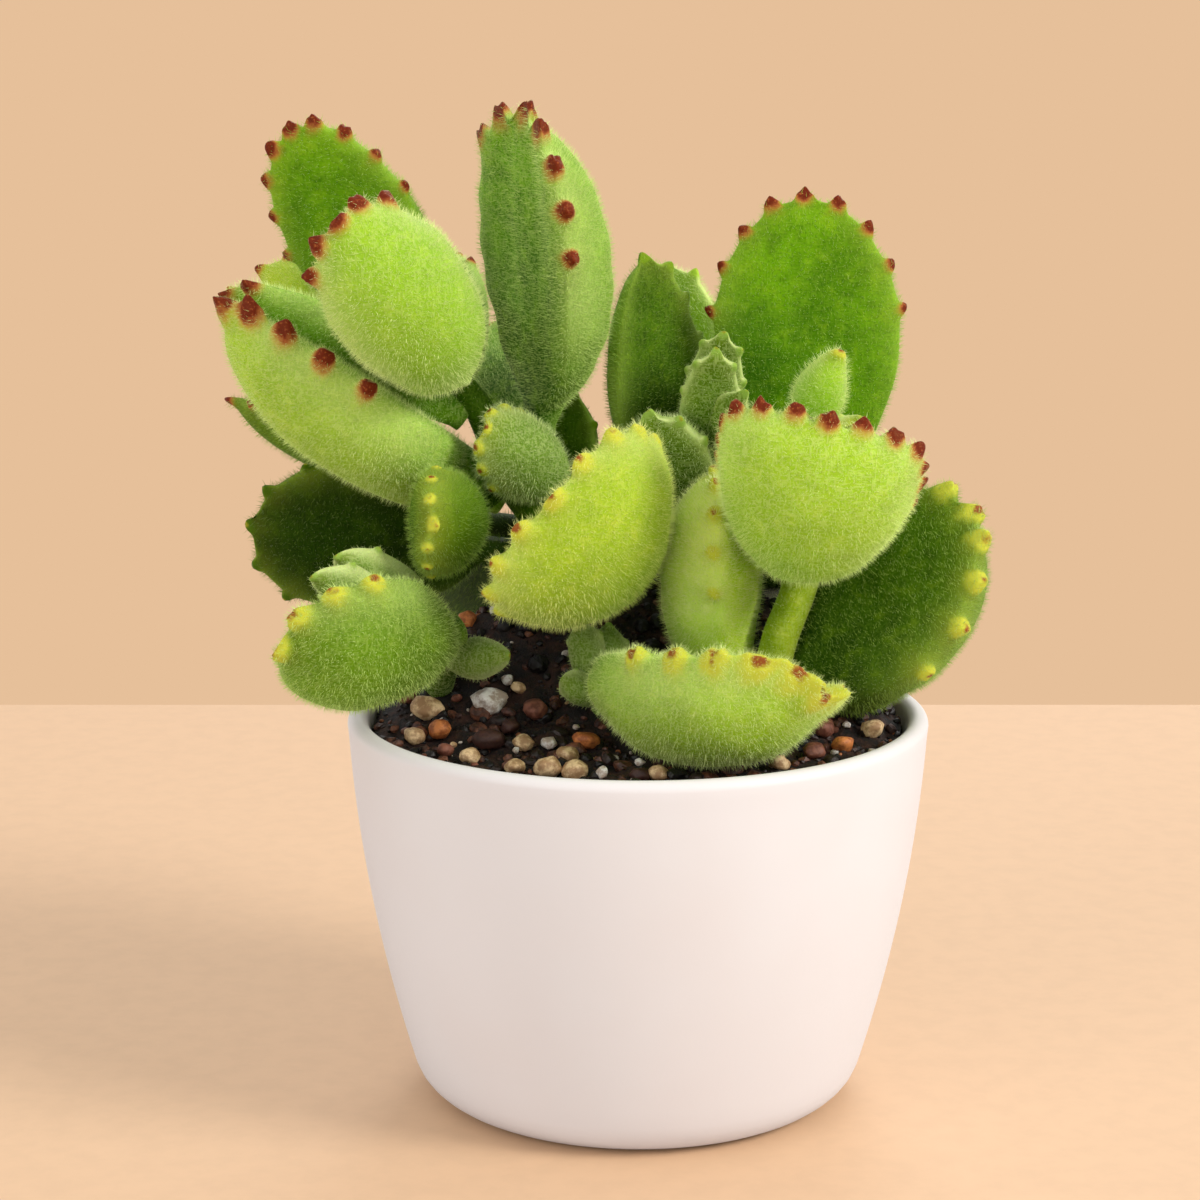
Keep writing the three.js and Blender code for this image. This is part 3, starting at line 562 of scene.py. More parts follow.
def spline(points, steps):
    """Points along a centripetal Catmull-Rom curve, evenly stepped over its segments."""
    p = np.array(points, float)
    p = np.concatenate([[2 * p[0] - p[1]], p, [2 * p[-1] - p[-2]]])
    out = []
    segments = len(p) - 3
    for t in np.linspace(0, segments, steps + 1):
        n = min(int(t), segments - 1)
        u = t - n
        p0, p1, p2, p3 = p[n:n + 4]
        d0, d1, d2 = (max(np.linalg.norm(b[:3] - a[:3]), 1e-6) ** 0.5
                      for a, b in ((p0, p1), (p1, p2), (p2, p3)))
        m1 = ((p1 - p0) / d0 - (p2 - p0) / (d0 + d1) + (p2 - p1) / d1) * d1
        m2 = ((p2 - p1) / d1 - (p3 - p1) / (d1 + d2) + (p3 - p2) / d2) * d1
        a, b = 2 * p1 - 2 * p2 + m1 + m2, -3 * p1 + 3 * p2 - 2 * m1 - m2
        out.append(((a * u + b) * u + m1) * u + p1)
    return np.array(out)


# The size of the swells on a stem, and their height.
TUBE_SWAY_SIZE, TUBE_SWAY = 5.0, 0.16


def tube_shape(line, seed, sides=20, steps=48):
    """A round tapering tube through points with a radius each, closed at both ends."""
    curve = spline(line, steps)
    centre, radius = curve[:, :3], curve[:, 3]
    along = unit(np.gradient(centre, axis=0))
    across = np.array((1.0, 0.0, 0.0))
    rings = []
    for c, t, r in zip(centre, along, radius):
        across = unit(across - across.dot(t) * t)
        other = np.cross(t, across)
        a = np.linspace(0, 2 * np.pi, sides, endpoint=False)[:, None]
        rings.append(c + r * (np.cos(a) * across + np.sin(a) * other))
    rings = np.array(rings)
    sway = wobble(rings, seed, TUBE_SWAY_SIZE, TUBE_SWAY)
    rings = rings + grid_normals(rings) * sway[..., None]
    points, faces = skin(rings, centre[0], centre[-1])
    marks = {name: np.zeros(len(points)) for name in ("claw", "glow", "upper", "rim")}
    marks["along"] = np.full(len(points), 0.45)
    marks["down"] = np.full(len(points), 0.6)
    marks["grow"] = np.concatenate([np.repeat(along, sides, axis=0), [along[0], along[-1]]])
    return points, outward(points, faces), marks


def merged(shapes):
    """Several shapes as one."""
    points, faces, marks, offset = [], [], {}, 0
    for p, f, m in shapes:
        points.append(p)
        faces += [tuple(i + offset for i in face) for face in f]
        for name, value in m.items():
            marks.setdefault(name, []).append(value)
        offset += len(p)
    return np.concatenate(points), faces, {n: np.concatenate(v) for n, v in marks.items()}


def nearest_stem(p):
    """The point nearest to p on the middle line of any stem."""
    lines = [spline(line, 120)[:, :3] for stem in STEMS.values() for line in stem["lines"]]
    every = np.concatenate(lines)
    return every[np.linalg.norm(every - p, axis=1).argmin()]


def whole_leaf(leaf, seed):
    """A blade, with the stalk that runs to the stem where the blade stands off from it."""
    blade = leaf_shape(leaf, seed)
    if not leaf["stands_off"]:
        return blade
    radius = 0.9 + 0.03 * leaf["width"]
    path = [nearest_stem(np.array(leaf["start"]))]
    for s in (0.04, 0.2):
        path.append((surface(leaf, s, np.pi / 2) + surface(leaf, s, -np.pi / 2)) / 2)
    return merged([blade, tube_shape([(*p, radius) for p in path], seed, 16, 14)])


def add_mesh(name, points, faces, marks=None, smooth=True):
    """A mesh object at the origin, from points in millimetres."""
    mesh = bpy.data.meshes.new(name)
    mesh.from_pydata((np.asarray(points) * MM).tolist(), [], faces)
    for label, value in (marks or {}).items():
        kind, field = ("FLOAT_VECTOR", "vector") if value.ndim == 2 else ("FLOAT", "value")
        layer = mesh.attributes.new(label, kind, "POINT")
        layer.data.foreach_set(field, value.astype(np.float32).ravel())
    if smooth:
        mesh.polygons.foreach_set("use_smooth", [True] * len(mesh.polygons))
    mesh.update()
    piece = bpy.data.objects.new(name, mesh)
    bpy.context.scene.collection.objects.link(piece)
    return piece


def settle(piece, material=None, nodes=()):
    """Gives a finished piece its material and its body, and hides the nodes that it stands for."""
    if material:
        piece.data.materials.clear()
        piece.data.materials.append(material)
    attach(piece, BODY)
    if nodes:
        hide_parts(*nodes)


def add_node(tree, kind, inputs=None, **settings):
    """A node with its settings and the values or links of its inputs."""
    node = tree.nodes.new(kind)
    for name, value in settings.items():
        setattr(node, name, value)
    for key, value in (inputs or {}).items():
        if isinstance(value, bpy.types.NodeSocket):
            tree.links.new(value, node.inputs[key])
        else:
            node.inputs[key].default_value = value
    return node


FLOAT, COLOR, GEOMETRY = "NodeSocketFloat", "NodeSocketColor", "NodeSocketGeometry"
INTEGER, SURFACE = "NodeSocketInt", "NodeSocketMaterial"


def new_tree(name, kind, inputs, outputs):
    """A node group with named inputs and outputs, and what its two end nodes join to."""
    tree = bpy.data.node_groups.new(name, kind)
    for socket, socket_kind, value in inputs:
        item = tree.interface.new_socket(socket, in_out="INPUT", socket_type=socket_kind)
        if value is not None:
            item.default_value = value
    for socket, socket_kind in outputs:
        tree.interface.new_socket(socket, in_out="OUTPUT", socket_type=socket_kind)
    return tree, tree.nodes.new("NodeGroupInput").outputs, tree.nodes.new("NodeGroupOutput").inputs


def tint(tree, factor, low, high):
    """The colour between low and high."""
    return add_node(tree, "ShaderNodeMix", {0: factor, 6: low, 7: high},
                    data_type="RGBA").outputs[2]


def scaled(tree, value, from_low, from_high, to_low=0.0, to_high=1.0):
    """A value moved smoothly from one range to another, and held at its ends."""
    return add_node(tree, "ShaderNodeMapRange", {
        "Value": value, "From Min": from_low, "From Max": from_high,
        "To Min": to_low, "To Max": to_high}, interpolation_type="SMOOTHSTEP").outputs[0]


def arithmetic(tree, operation, a, b):
    """One step of arithmetic on two values."""
    return add_node(tree, "ShaderNodeMath", {0: a, 1: b}, operation=operation).outputs[0]


def noise(tree, where, scale, detail=2.0, roughness=0.5):
    """Noise with the given number of swells in a metre."""
    return add_node(tree, "ShaderNodeTexNoise", {
        "Vector": where, "Scale": scale, "Detail": detail, "Roughness": roughness}).outputs[0]


def object_place(tree):
    """The place on the piece, in metres."""
    return add_node(tree, "ShaderNodeTexCoord").outputs["Object"]


def mark(tree, name):
    """A mark of the mesh, in a material."""
    return add_node(tree, "ShaderNodeAttribute", attribute_name=name).outputs["Fac"]


def product(tree, a, b):
    """Two values multiplied."""
    return arithmetic(tree, "MULTIPLY", a, b)


def vectors(tree, operation, a, b=None, scale=None):
    """Vector arithmetic, with whichever of its inputs the operation takes."""
    inputs = {0: a, 1: b, "Scale": scale}
    given = {key: value for key, value in inputs.items() if value is not None}
    return add_node(tree, "ShaderNodeVectorMath", given, operation=operation).outputs[0]


def any_number(tree, low, high, seed):
    """A random number for each point."""
    return add_node(tree, "FunctionNodeRandomValue", {2: low, 3: high, "Seed": seed},
                    data_type="FLOAT").outputs[1]


def any_vector(tree, low, high, seed):
    """A random vector for each point."""
    return add_node(tree, "FunctionNodeRandomValue", {0: low, 1: high, "Seed": seed},
                    data_type="FLOAT_VECTOR").outputs[0]


def named(tree, name, kind="FLOAT"):
    """A mark of the mesh, in a tree that works on geometry."""
    return add_node(tree, "GeometryNodeInputNamedAttribute", {"Name": name},
                    data_type=kind).outputs[0]


def new_material(name, **values):
    """A material with its tree and its shader, whose sockets are named with underscores here."""
    material = bpy.data.materials.new(name)
    material.use_nodes = True
    shader = material.node_tree.nodes["Principled BSDF"]
    for socket, value in values.items():
        shader.inputs[socket.replace("_", " ")].default_value = value
    return material, material.node_tree, shader


def emboss(tree, shader, height, strength, distance):
    """Relief in the shader's normal, with its depth in millimetres."""
    bump = add_node(tree, "ShaderNodeBump", {
        "Height": height, "Strength": strength, "Distance": distance * MM})
    tree.links.new(bump.outputs[0], shader.inputs["Normal"])


STRANDS_PER_M = 3600.0


def streaks(tree, place):
    """Fine short strands that cross on the skin, 1 on a strand and 0 between."""
    total = None
    for turn, stretch in (((0.3, 0.2, 0.5), (1.0, 1.0, 0.2)), ((0.9, 0.4, 0.1), (0.2, 1.0, 1.0)),
                          ((0.2, 1.1, 0.8), (1.0, 0.2, 1.0))):
        where = add_node(tree, "ShaderNodeMapping", {
            "Vector": place, "Rotation": turn, "Scale": stretch}).outputs[0]
        strand = scaled(tree, noise(tree, where, STRANDS_PER_M, 1.0), 0.52, 0.66)
        total = strand if total is None else arithmetic(tree, "MAXIMUM", total, strand)
    return total


def leaf_group():
    """The colour and relief of downy leaf skin, from the marks on its mesh, with painted shade
    between its hairs and painted bounce light on its underside.
    """
    tree, given, out = new_tree("Leaf skin", "ShaderNodeTree", [
        ("Deep", COLOR, PALETTES["green"]["deep"]),
        ("Fresh", COLOR, PALETTES["green"]["fresh"]),
        ("Pale", COLOR, PALETTES["green"]["pale"]),
        ("Claw", COLOR, CLAW_RED),
        ("Claw Foot", COLOR, CLAW_ORANGE),
        ("Foot From", FLOAT, 0.0),
        ("Red From", FLOAT, 0.34),
        ("Glow", FLOAT, 0.12),
        ("Rim", FLOAT, 0.35),
        ("Down", COLOR, PALETTES["green"]["hair"]),
        ("Down Share", FLOAT, PALETTES["green"]["share"]),
    ], [("Color", COLOR), ("Roughness", FLOAT), ("Height", FLOAT)])
    place = object_place(tree)
    broad = noise(tree, place, 90.0, 3.0)
    mottle = noise(tree, place, 420.0, 4.0, 0.6)
    fine = noise(tree, place, 2600.0, 2.0, 0.6)
    along = mark(tree, "along")
    ripe = arithmetic(tree, "ADD", scaled(tree, along, 0.05, 0.85, 0.0, 0.75),
                scaled(tree, broad, 0.3, 0.7, -0.3, 0.45))
    body = tint(tree, ripe, given["Deep"], given["Fresh"])
    body = tint(tree, scaled(tree, mottle, 0.5, 0.28, 0.0, 0.5), body, given["Deep"])
    body = tint(tree, scaled(tree, mottle, 0.5, 0.75, 0.0, 0.5), body, given["Pale"])
    # Painted shade: fine specks of the deep colour stand for the shadows between the hairs.
    body = tint(tree, scaled(tree, fine, 0.5, 0.3, 0.0, 0.45), body, given["Deep"])
    # Painted bounce light and denser down: the underside is tinted towards the pale colour.
    under = scaled(tree, mark(tree, "upper"), 0.2, -1.0, 0.0, 0.35)
    body = tint(tree, under, body, given["Pale"])
    rim = product(tree, mark(tree, "rim"), given["Rim"])
    body = tint(tree, rim, body, given["Down"])
    strand = streaks(tree, place)
    body = tint(tree, product(tree, strand, given["Down Share"]), body, given["Down"])
    warm = product(tree, mark(tree, "glow"), given["Glow"])
    body = tint(tree, warm, body, CLAW_GOLD)
    claw = mark(tree, "claw")
    uneven = product(tree, claw, scaled(tree, mottle, 0.3, 0.7, 0.75, 1.25))
    foot = scaled(tree, arithmetic(tree, "SUBTRACT", uneven, given["Foot From"]), 0.0, 0.45)
    body = tint(tree, foot, body, given["Claw Foot"])
    red = arithmetic(tree, "SUBTRACT", uneven, given["Red From"])
    ripe_tip = tint(tree, scaled(tree, fine, 0.52, 0.75, 0.0, 0.55), given["Claw"],
                    given["Claw Foot"])
    body = tint(tree, scaled(tree, red, -0.14, 0.16), body, ripe_tip)
    tree.links.new(body, out["Color"])
    tree.links.new(scaled(tree, claw, 0.3, 0.8, 0.62, 0.42), out["Roughness"])
    relief = arithmetic(tree, "ADD", product(tree, mottle, 0.5), product(tree, strand, 0.25))
    tree.links.new(relief, out["Height"])
    return tree


# How far light spreads under a leaf's skin, in millimetres.
LEAF_SCATTER = 1.2


def leaf_material(look, claws):
    """Leaf skin in one palette, with red, gold or plain claws."""
    name = f"leaf_{look}_{claws}"
    if name in bpy.data.materials:
        return bpy.data.materials[name]
    skin_group = bpy.data.node_groups.get("Leaf skin") or leaf_group()
    colors = PALETTES[look]
    material, tree, shader = new_material(
        name, Subsurface_Weight=0.22, Subsurface_Radius=(0.6, 1.0, 0.25),
        Subsurface_Scale=LEAF_SCATTER * MM, Specular_IOR_Level=0.2,
        Specular_Tint=srgb(226, 240, 150), Sheen_Weight=colors["sheen"], Sheen_Roughness=0.22,
        Sheen_Tint=colors["hair"])
    claw, foot, foot_from, red_from, glow, rim = {
        "red": (CLAW_RED, CLAW_ORANGE, 0.0, 0.34, 0.12, 0.35),
        "gold": (srgb(150, 80, 40), CLAW_GOLD, 0.05, 0.74, 0.3, 0.35),
        "plain": (srgb(150, 150, 40), colors["pale"], 0.1, 0.84, 0.1, 0.8),
    }[claws]
    group = add_node(tree, "ShaderNodeGroup", node_tree=skin_group)
    for socket, value in {
        "Deep": colors["deep"], "Fresh": colors["fresh"], "Pale": colors["pale"],
        "Claw": claw, "Claw Foot": foot, "Foot From": foot_from, "Red From": red_from,
        "Glow": glow, "Rim": rim, "Down": colors["hair"], "Down Share": colors["share"],
    }.items():
        group.inputs[socket].default_value = value
    tree.links.new(group.outputs["Color"], shader.inputs["Base Color"])
    tree.links.new(group.outputs["Roughness"], shader.inputs["Roughness"])
    emboss(tree, shader, group.outputs["Height"], 0.45, 0.4)
    return material


def scatter_tree(name, sockets, where):
    """The start of a tree that strews things over a base, as densely as a mark of it says."""
    tree, given, out = new_tree(name, "GeometryNodeTree", [
        ("Geometry", GEOMETRY, None),
        ("Density", FLOAT, 1.0),
        *sockets,
        ("Seed", INTEGER, 1),
        ("Material", SURFACE, None),
    ], [("Geometry", GEOMETRY)])
    spread = add_node(tree, "GeometryNodeDistributePointsOnFaces", {
        "Mesh": given["Geometry"], "Seed": given["Seed"],
        "Density": product(tree, given["Density"], named(tree, where))})
    return tree, given, out, spread.outputs


def finish_tree(tree, geometry, given, out):
    """Puts the tree's material on the geometry and gives it out."""
    done = add_node(tree, "GeometryNodeSetMaterial", {
        "Geometry": geometry, "Material": given["Material"]})
    tree.links.new(done.outputs[0], out["Geometry"])
    return tree


def down_tree():
    """Short hairs that stand all over a leaf, leaning towards its tip and a little to all sides."""
    tree, given, out, spread = scatter_tree("Down", [
        ("Length", FLOAT, 1.0),
        ("Width", FLOAT, 0.1),
        ("Lean", FLOAT, 0.5),
        ("Scatter", FLOAT, 0.5),
    ], "down")
    shake = any_vector(tree, (-1.0, -1.0, -1.0), (1.0, 1.0, 1.0), given["Seed"])
    lean = vectors(tree, "SCALE", named(tree, "grow", "FLOAT_VECTOR"), scale=given["Lean"])
    way = vectors(tree, "ADD", vectors(tree, "ADD", spread["Normal"], lean),
                  vectors(tree, "SCALE", shake, scale=given["Scatter"]))
    aligned = add_node(tree, "FunctionNodeAlignRotationToVector", {"Vector": way}, axis="Z")
    hair = add_node(tree, "GeometryNodeMeshCone", {
        "Vertices": 3, "Side Segments": 1, "Fill Segments": 1, "Radius Top": 0.0,
        "Radius Bottom": given["Width"], "Depth": given["Length"]}, fill_type="NGON")
    stand = add_node(tree, "GeometryNodeInstanceOnPoints", {
        "Points": spread["Points"], "Instance": hair.outputs["Mesh"],
        "Rotation": aligned.outputs[0], "Scale": any_number(tree, 0.55, 1.1, given["Seed"])})
    real = add_node(tree, "GeometryNodeRealizeInstances", {"Geometry": stand.outputs[0]})
    return finish_tree(tree, real.outputs[0], given, out)


def grain_tree():
    """Uneven lumps that lie on a bed, each of its own size, shape and shade."""
    tree, given, out, spread = scatter_tree("Grains", [
        ("Smallest", FLOAT, 0.5),
        ("Largest", FLOAT, 1.5),
        ("Roughness", FLOAT, 0.3),
        ("Detail", INTEGER, 2),
    ], "open")
    seed = given["Seed"]
    ball = add_node(tree, "GeometryNodeMeshIcoSphere", {
        "Radius": 1.0, "Subdivisions": given["Detail"]})
    squash = any_vector(tree, (0.75, 0.6, 0.5), (1.15, 1.0, 0.85), seed)
    size = add_node(tree, "ShaderNodeMapRange", {
        "Value": arithmetic(tree, "POWER", any_number(tree, 0.0, 1.0, seed), 2.0),
        "To Min": given["Smallest"], "To Max": given["Largest"]}).outputs[0]
    stand = add_node(tree, "GeometryNodeInstanceOnPoints", {
        "Points": spread["Points"], "Instance": ball.outputs["Mesh"],
        "Rotation": any_vector(tree, (-0.6, -0.6, 0.0), (0.6, 0.6, 6.28), seed),
        "Scale": vectors(tree, "SCALE", squash, scale=size)})
    noted = add_node(tree, "GeometryNodeStoreNamedAttribute", {
        "Geometry": stand.outputs[0], "Name": "shade",
        "Value": any_number(tree, 0.0, 1.0, seed)}, data_type="FLOAT", domain="INSTANCE")
    real = add_node(tree, "GeometryNodeRealizeInstances", {"Geometry": noted.outputs[0]})
    here = add_node(tree, "GeometryNodeInputPosition").outputs[0]
    rough = add_node(tree, "ShaderNodeTexNoise", {"Vector": here, "Scale": 900.0, "Detail": 2.0})
    push = vectors(tree, "SUBTRACT", rough.outputs[1], (0.5, 0.5, 0.5))
    bent = add_node(tree, "GeometryNodeSetPosition", {
        "Geometry": real.outputs[0],
        "Offset": vectors(tree, "SCALE", push, scale=given["Roughness"])})
    return finish_tree(tree, bent.outputs[0], given, out)


def grown(name, base, tree, values):
    """What a node tree makes on a base piece, as a plain mesh piece of its own."""
    source = bpy.data.objects.new(name + "_source", base.data)
    bpy.context.scene.collection.objects.link(source)
    modifier = source.modifiers.new(name, "NODES")
    modifier.node_group = tree
    for item in tree.interface.items_tree:
        if item.item_type == "SOCKET" and item.in_out == "INPUT" and item.name in values:
            modifier[item.identifier] = values[item.name]
    bpy.context.view_layer.update()
    depsgraph = bpy.context.evaluated_depsgraph_get()
    mesh = bpy.data.meshes.new_from_object(source.evaluated_get(depsgraph))
    bpy.data.objects.remove(source)
    mesh.name = name
    piece = bpy.data.objects.new(name, mesh)
    bpy.context.scene.collection.objects.link(piece)
    return piece


def pot_radius(z):
    """The pot's outer radius: a curve through foot, middle and rim, and a rounded foot."""
    t = z / POT_HEIGHT
    r = (FOOT_RADIUS * 2 * (t - 0.5) * (t - 1) - MIDDLE_RADIUS * 4 * t * (t - 1)
         + RIM_RADIUS * 2 * t * (t - 0.5))
    d = max(FOOT_ROUND - z, 0)
    return r - (FOOT_ROUND - math.sqrt(FOOT_ROUND ** 2 - d ** 2))


def hollow_radius(z):
    """The radius inside the pot."""
    d = max(FLOOR + FOOT_ROUND - z, 0)
    close = FOOT_ROUND - math.sqrt(max(FOOT_ROUND ** 2 - d ** 2, 0))
    return pot_radius(max(z, FOOT_ROUND)) - WALL - close


def level_ring(radius, z, sides):
    """Points round a level circle about Z, at one height or at a height for each."""
    angle = np.linspace(0, 2 * np.pi, sides, endpoint=False)
    return np.stack([radius * np.cos(angle), radius * np.sin(angle),
                     np.broadcast_to(z, sides)], axis=1)


def turned(profile, sides):
    """A solid of revolution about Z from a closed profile of (radius, z), both ends on the axis."""
    rings = np.array([level_ring(r, z, sides) for r, z in profile[1:-1]])
    points, faces = skin(rings, (0, 0, profile[0][1]), (0, 0, profile[-1][1]))
    return points, outward(points, faces)


def pot_profile():
    """Half of the pot's section, from the middle of its underside to that of its floor."""
    profile = [(0, 0), (8, 0), (18, 0), (pot_radius(0) - 0.6, 0), (pot_radius(0), 0.02)]
    profile += [(pot_radius(z), z) for z in (0.15, 0.5, 1, 1.7, 2.5, 3.5, FOOT_ROUND)]
    profile += [(pot_radius(z), z) for z in np.linspace(7.5, POT_HEIGHT - WALL, 22)]
    lip = WALL / 2
    for a in np.radians(np.linspace(0, 180, 13)):
        profile.append((RIM_RADIUS - lip + lip * math.cos(a), POT_HEIGHT - lip + lip * math.sin(a)))
    profile += [(hollow_radius(z), z) for z in (49, 46, 38, 24, FLOOR + FOOT_ROUND, FLOOR + 2)]
    profile += [(hollow_radius(FLOOR + 0.2) - 2, FLOOR), (0, FLOOR)]
    return profile


def soil_height(x, y):
    """The height of the soil: its heap, which ends at the pot's wall, and low waves."""
    near = (((x - HEAP_X) / HEAP_WIDE) ** 2 + ((y - HEAP_Y) / HEAP_DEEP) ** 2) / 2
    inside = np.maximum(1 - (np.hypot(x, y) / HEAP_END) ** 7, 0)
    lumps = WAVE_HEIGHT * np.sin(0.55 * x + 1.3) * np.sin(0.62 * y + 0.4)
    return SOIL_EDGE + HEAP_RISE * np.exp(-near) * inside + lumps


def soil_shape(sides=120):
    """The soil as the pot holds it: smooth sides and floor, and an uneven top."""
    rings, bare = [], []
    for z in (FLOOR, FLOOR + 2.5, FLOOR + FOOT_ROUND + 1, 24, 38, 46):
        r = hollow_radius(max(z, FLOOR + SOIL_GAP)) - (3 if z == FLOOR else SOIL_GAP)
        rings.append(level_ring(r, z, sides))
        bare.append(np.zeros(sides))
    for r in np.linspace(SOIL_RADIUS, 1.0, 38):
        flat = level_ring(r, 0.0, sides)
        rough = wobble(flat, 11, 4.0, 0.7) + wobble(flat, 12, 2.0, 0.45)
        rings.append(level_ring(r, soil_height(flat[:, 0], flat[:, 1]) - BED_DROP + rough, sides))
        bare.append(np.ones(sides))
    centre = float(soil_height(0.0, 0.0)) - BED_DROP
    points, faces = skin(np.array(rings), (0, 0, FLOOR), (0, 0, centre))
    marks = {"open": np.concatenate([np.ravel(bare), [0, 1]])}
    return points, outward(points, faces), marks


def ball_shape(detail):
    """Points and faces of a unit ball made of near-equal triangles."""
    import bmesh
    ball = bmesh.new()
    bmesh.ops.create_icosphere(ball, subdivisions=detail, radius=1.0)
    points = np.array([v.co for v in ball.verts])
    faces = [tuple(v.index for v in f.verts) for f in ball.faces]
    ball.free()
    return points, faces


# The colours of the kinds of pebble, of 0 to 255.
PEBBLE_KINDS = {
    "white": (244, 240, 232), "tan": (238, 206, 158), "rust": (214, 132, 70),
    "brown": (142, 88, 68), "dark": (74, 42, 32),
}


# A pebble is a dented ball with worn flats, sunk a little into the soil.
PEBBLE_FLATS, FLAT_FROM, FLAT_WEAR = 9, 0.8, 0.8
PEBBLE_KNOBS, WHITE_KNOBS = 0.16, 0.34
PEBBLE_LIFT = 0.4
PEBBLE_SEED = 5


def pebble_shapes():
    """Every pebble from the photograph, each worn to its own uneven shape."""
    ball, faces = ball_shape(3)
    draw = np.random.default_rng(PEBBLE_SEED)
    shapes = []
    for n, (x, y, r, kind) in enumerate(PEBBLES):
        knobs = WHITE_KNOBS if kind == "white" else PEBBLE_KNOBS
        dent = 1 + wobble(ball, 100 + n, 1.3, knobs) + wobble(ball, 200 + n, 0.6, knobs * 0.5)
        stretch = np.array((1 + 0.25 * draw.random(), 1.0, 0.72 + 0.2 * draw.random()))
        turn, tilt = draw.uniform(0, 6.28), draw.uniform(-0.5, 0.5)
        cos, sin = math.cos(turn), math.sin(turn)
        spin = np.array(((cos, -sin, 0), (sin, cos, 0), (0, 0, 1)))
        lean = np.array(((1, 0, 0), (0, math.cos(tilt), -math.sin(tilt)),
                         (0, math.sin(tilt), math.cos(tilt))))
        worn = ball * dent[:, None]
        for way in unit(draw.normal(size=(PEBBLE_FLATS, 3))):
            worn = worn - (FLAT_WEAR * np.maximum(worn @ way - FLAT_FROM, 0))[:, None] * way
        p = (worn * stretch * r) @ (spin @ lean).T
        p = p + (x, y, float(soil_height(x, y)) + PEBBLE_LIFT * r)
        shade = (list(PEBBLE_KINDS).index(kind) + 0.5) / len(PEBBLE_KINDS)
        shapes.append((p, faces, {"shade": np.full(len(p), shade)}))
    return merged(shapes)


def shaded_material(name, stops, roughness, spots, relief):
    """Stone or soil whose colour follows the shade mark, spotted and rough."""
    material, tree, shader = new_material(name, Roughness=roughness)
    ramp = add_node(tree, "ShaderNodeValToRGB", {"Fac": mark(tree, "shade")})
    ramp.color_ramp.interpolation = "CONSTANT"
    points = ramp.color_ramp.elements
    points[0].color = srgb(*stops[0])
    points[1].position, points[1].color = 1 / len(stops), srgb(*stops[1])
    for n, color in enumerate(stops[2:], 2):
        points.new(n / len(stops)).color = srgb(*color)
    place = object_place(tree)
    coarse = noise(tree, place, 700.0, 4.0, 0.65)
    dark = add_node(tree, "ShaderNodeMix", {
        0: scaled(tree, coarse, 0.4, 0.62, 0.75, 0.0), 6: ramp.outputs[0], 7: srgb(*spots)},
        data_type="RGBA", blend_type="MULTIPLY")
    tree.links.new(dark.outputs[2], shader.inputs["Base Color"])
    fine = noise(tree, place, 2400.0, 3.0, 0.6)
    emboss(tree, shader, arithmetic(tree, "ADD", coarse, product(tree, fine, 0.4)), 0.6, relief)
    return material


def soil_material():
    """Dark moist soil, with painted shade that makes it near black in the hollows of its bump."""
    material, tree, shader = new_material("soil_moist_hollow_shade", Roughness=0.75)
    place = object_place(tree)
    coarse = noise(tree, place, 380.0, 5.0, 0.65)
    fine = noise(tree, place, 1800.0, 3.0, 0.6)
    # Painted shade: the colour runs to near black where the bump that this noise makes dips.
    color = tint(tree, scaled(tree, coarse, 0.4, 0.7), srgb(14, 7, 5), srgb(64, 36, 24))
    color = tint(tree, scaled(tree, fine, 0.62, 0.75, 0.0, 0.6), color, srgb(112, 70, 48))
    tree.links.new(color, shader.inputs["Base Color"])
    emboss(tree, shader, arithmetic(tree, "ADD", coarse, product(tree, fine, 0.5)), 0.9, 0.6)
    return material


def glaze_material(color):
    """Matt white glaze with a faint unevenness."""
    material, tree, shader = new_material("pot_glaze", Specular_IOR_Level=0.45)
    place = object_place(tree)
    cloud = noise(tree, place, 22.0, 3.0)
    grain = noise(tree, place, 1400.0, 2.0, 0.6)
    worn = tint(tree, scaled(tree, cloud, 0.3, 0.75), color, srgb(228, 221, 218))
    tree.links.new(worn, shader.inputs["Base Color"])
    tree.links.new(scaled(tree, grain, 0.3, 0.7, 0.42, 0.52), shader.inputs["Roughness"])
    emboss(tree, shader, arithmetic(tree, "ADD", cloud, product(tree, grain, 0.15)), 0.12, 0.4)
    return material


def amount_setting(label, about, value, top, low=0.0, **more):
    return FloatProperty(name=label, description=about, default=value, min=low, max=top, **more)


def color_setting(label, about, value):
    return FloatVectorProperty(name=label, description=about, default=value, size=4, min=0.0,
                               max=1.0, subtype="COLOR")


LENGTH = dict(subtype="DISTANCE", unit="LENGTH")
POWER = dict(unit="POWER")


class PlantSettings(bpy.types.PropertyGroup):
    down_density: amount_setting(
        "Down density", "Hairs on each square millimetre of leaf", 4.7, 20.0)
    down_length: amount_setting(
        "Down length", "Length of the longest hairs", 1.0 * MM, 0.005, 0.0001, **LENGTH)
    down_width: amount_setting(
        "Down width", "Radius of a hair at its root", 0.034 * MM, 0.001, 0.00001, **LENGTH)
    down_tint: color_setting(
        "Down tint", "Colour that every hair is tinted with", (1.0, 1.0, 1.0, 1.0))


class PotSettings(bpy.types.PropertyGroup):
    sides: IntProperty(
        name="Sides", description="Number of flats round the turned pot",
        default=160, min=24, max=512)
    glaze_color: color_setting("Glaze colour", "Colour of the pot's glaze", srgb(231, 228, 227))


class SoilSettings(bpy.types.PropertyGroup):
    crumb_density: amount_setting(
        "Crumb density", "Soil crumbs on each square millimetre", 0.34, 5.0)
    lump_density: amount_setting(
        "Lump density", "Lumps of soil on each square millimetre", 0.07, 1.0)
    grit_density: amount_setting(
        "Grit density", "Grains of grit on each square millimetre", 0.035, 2.0)


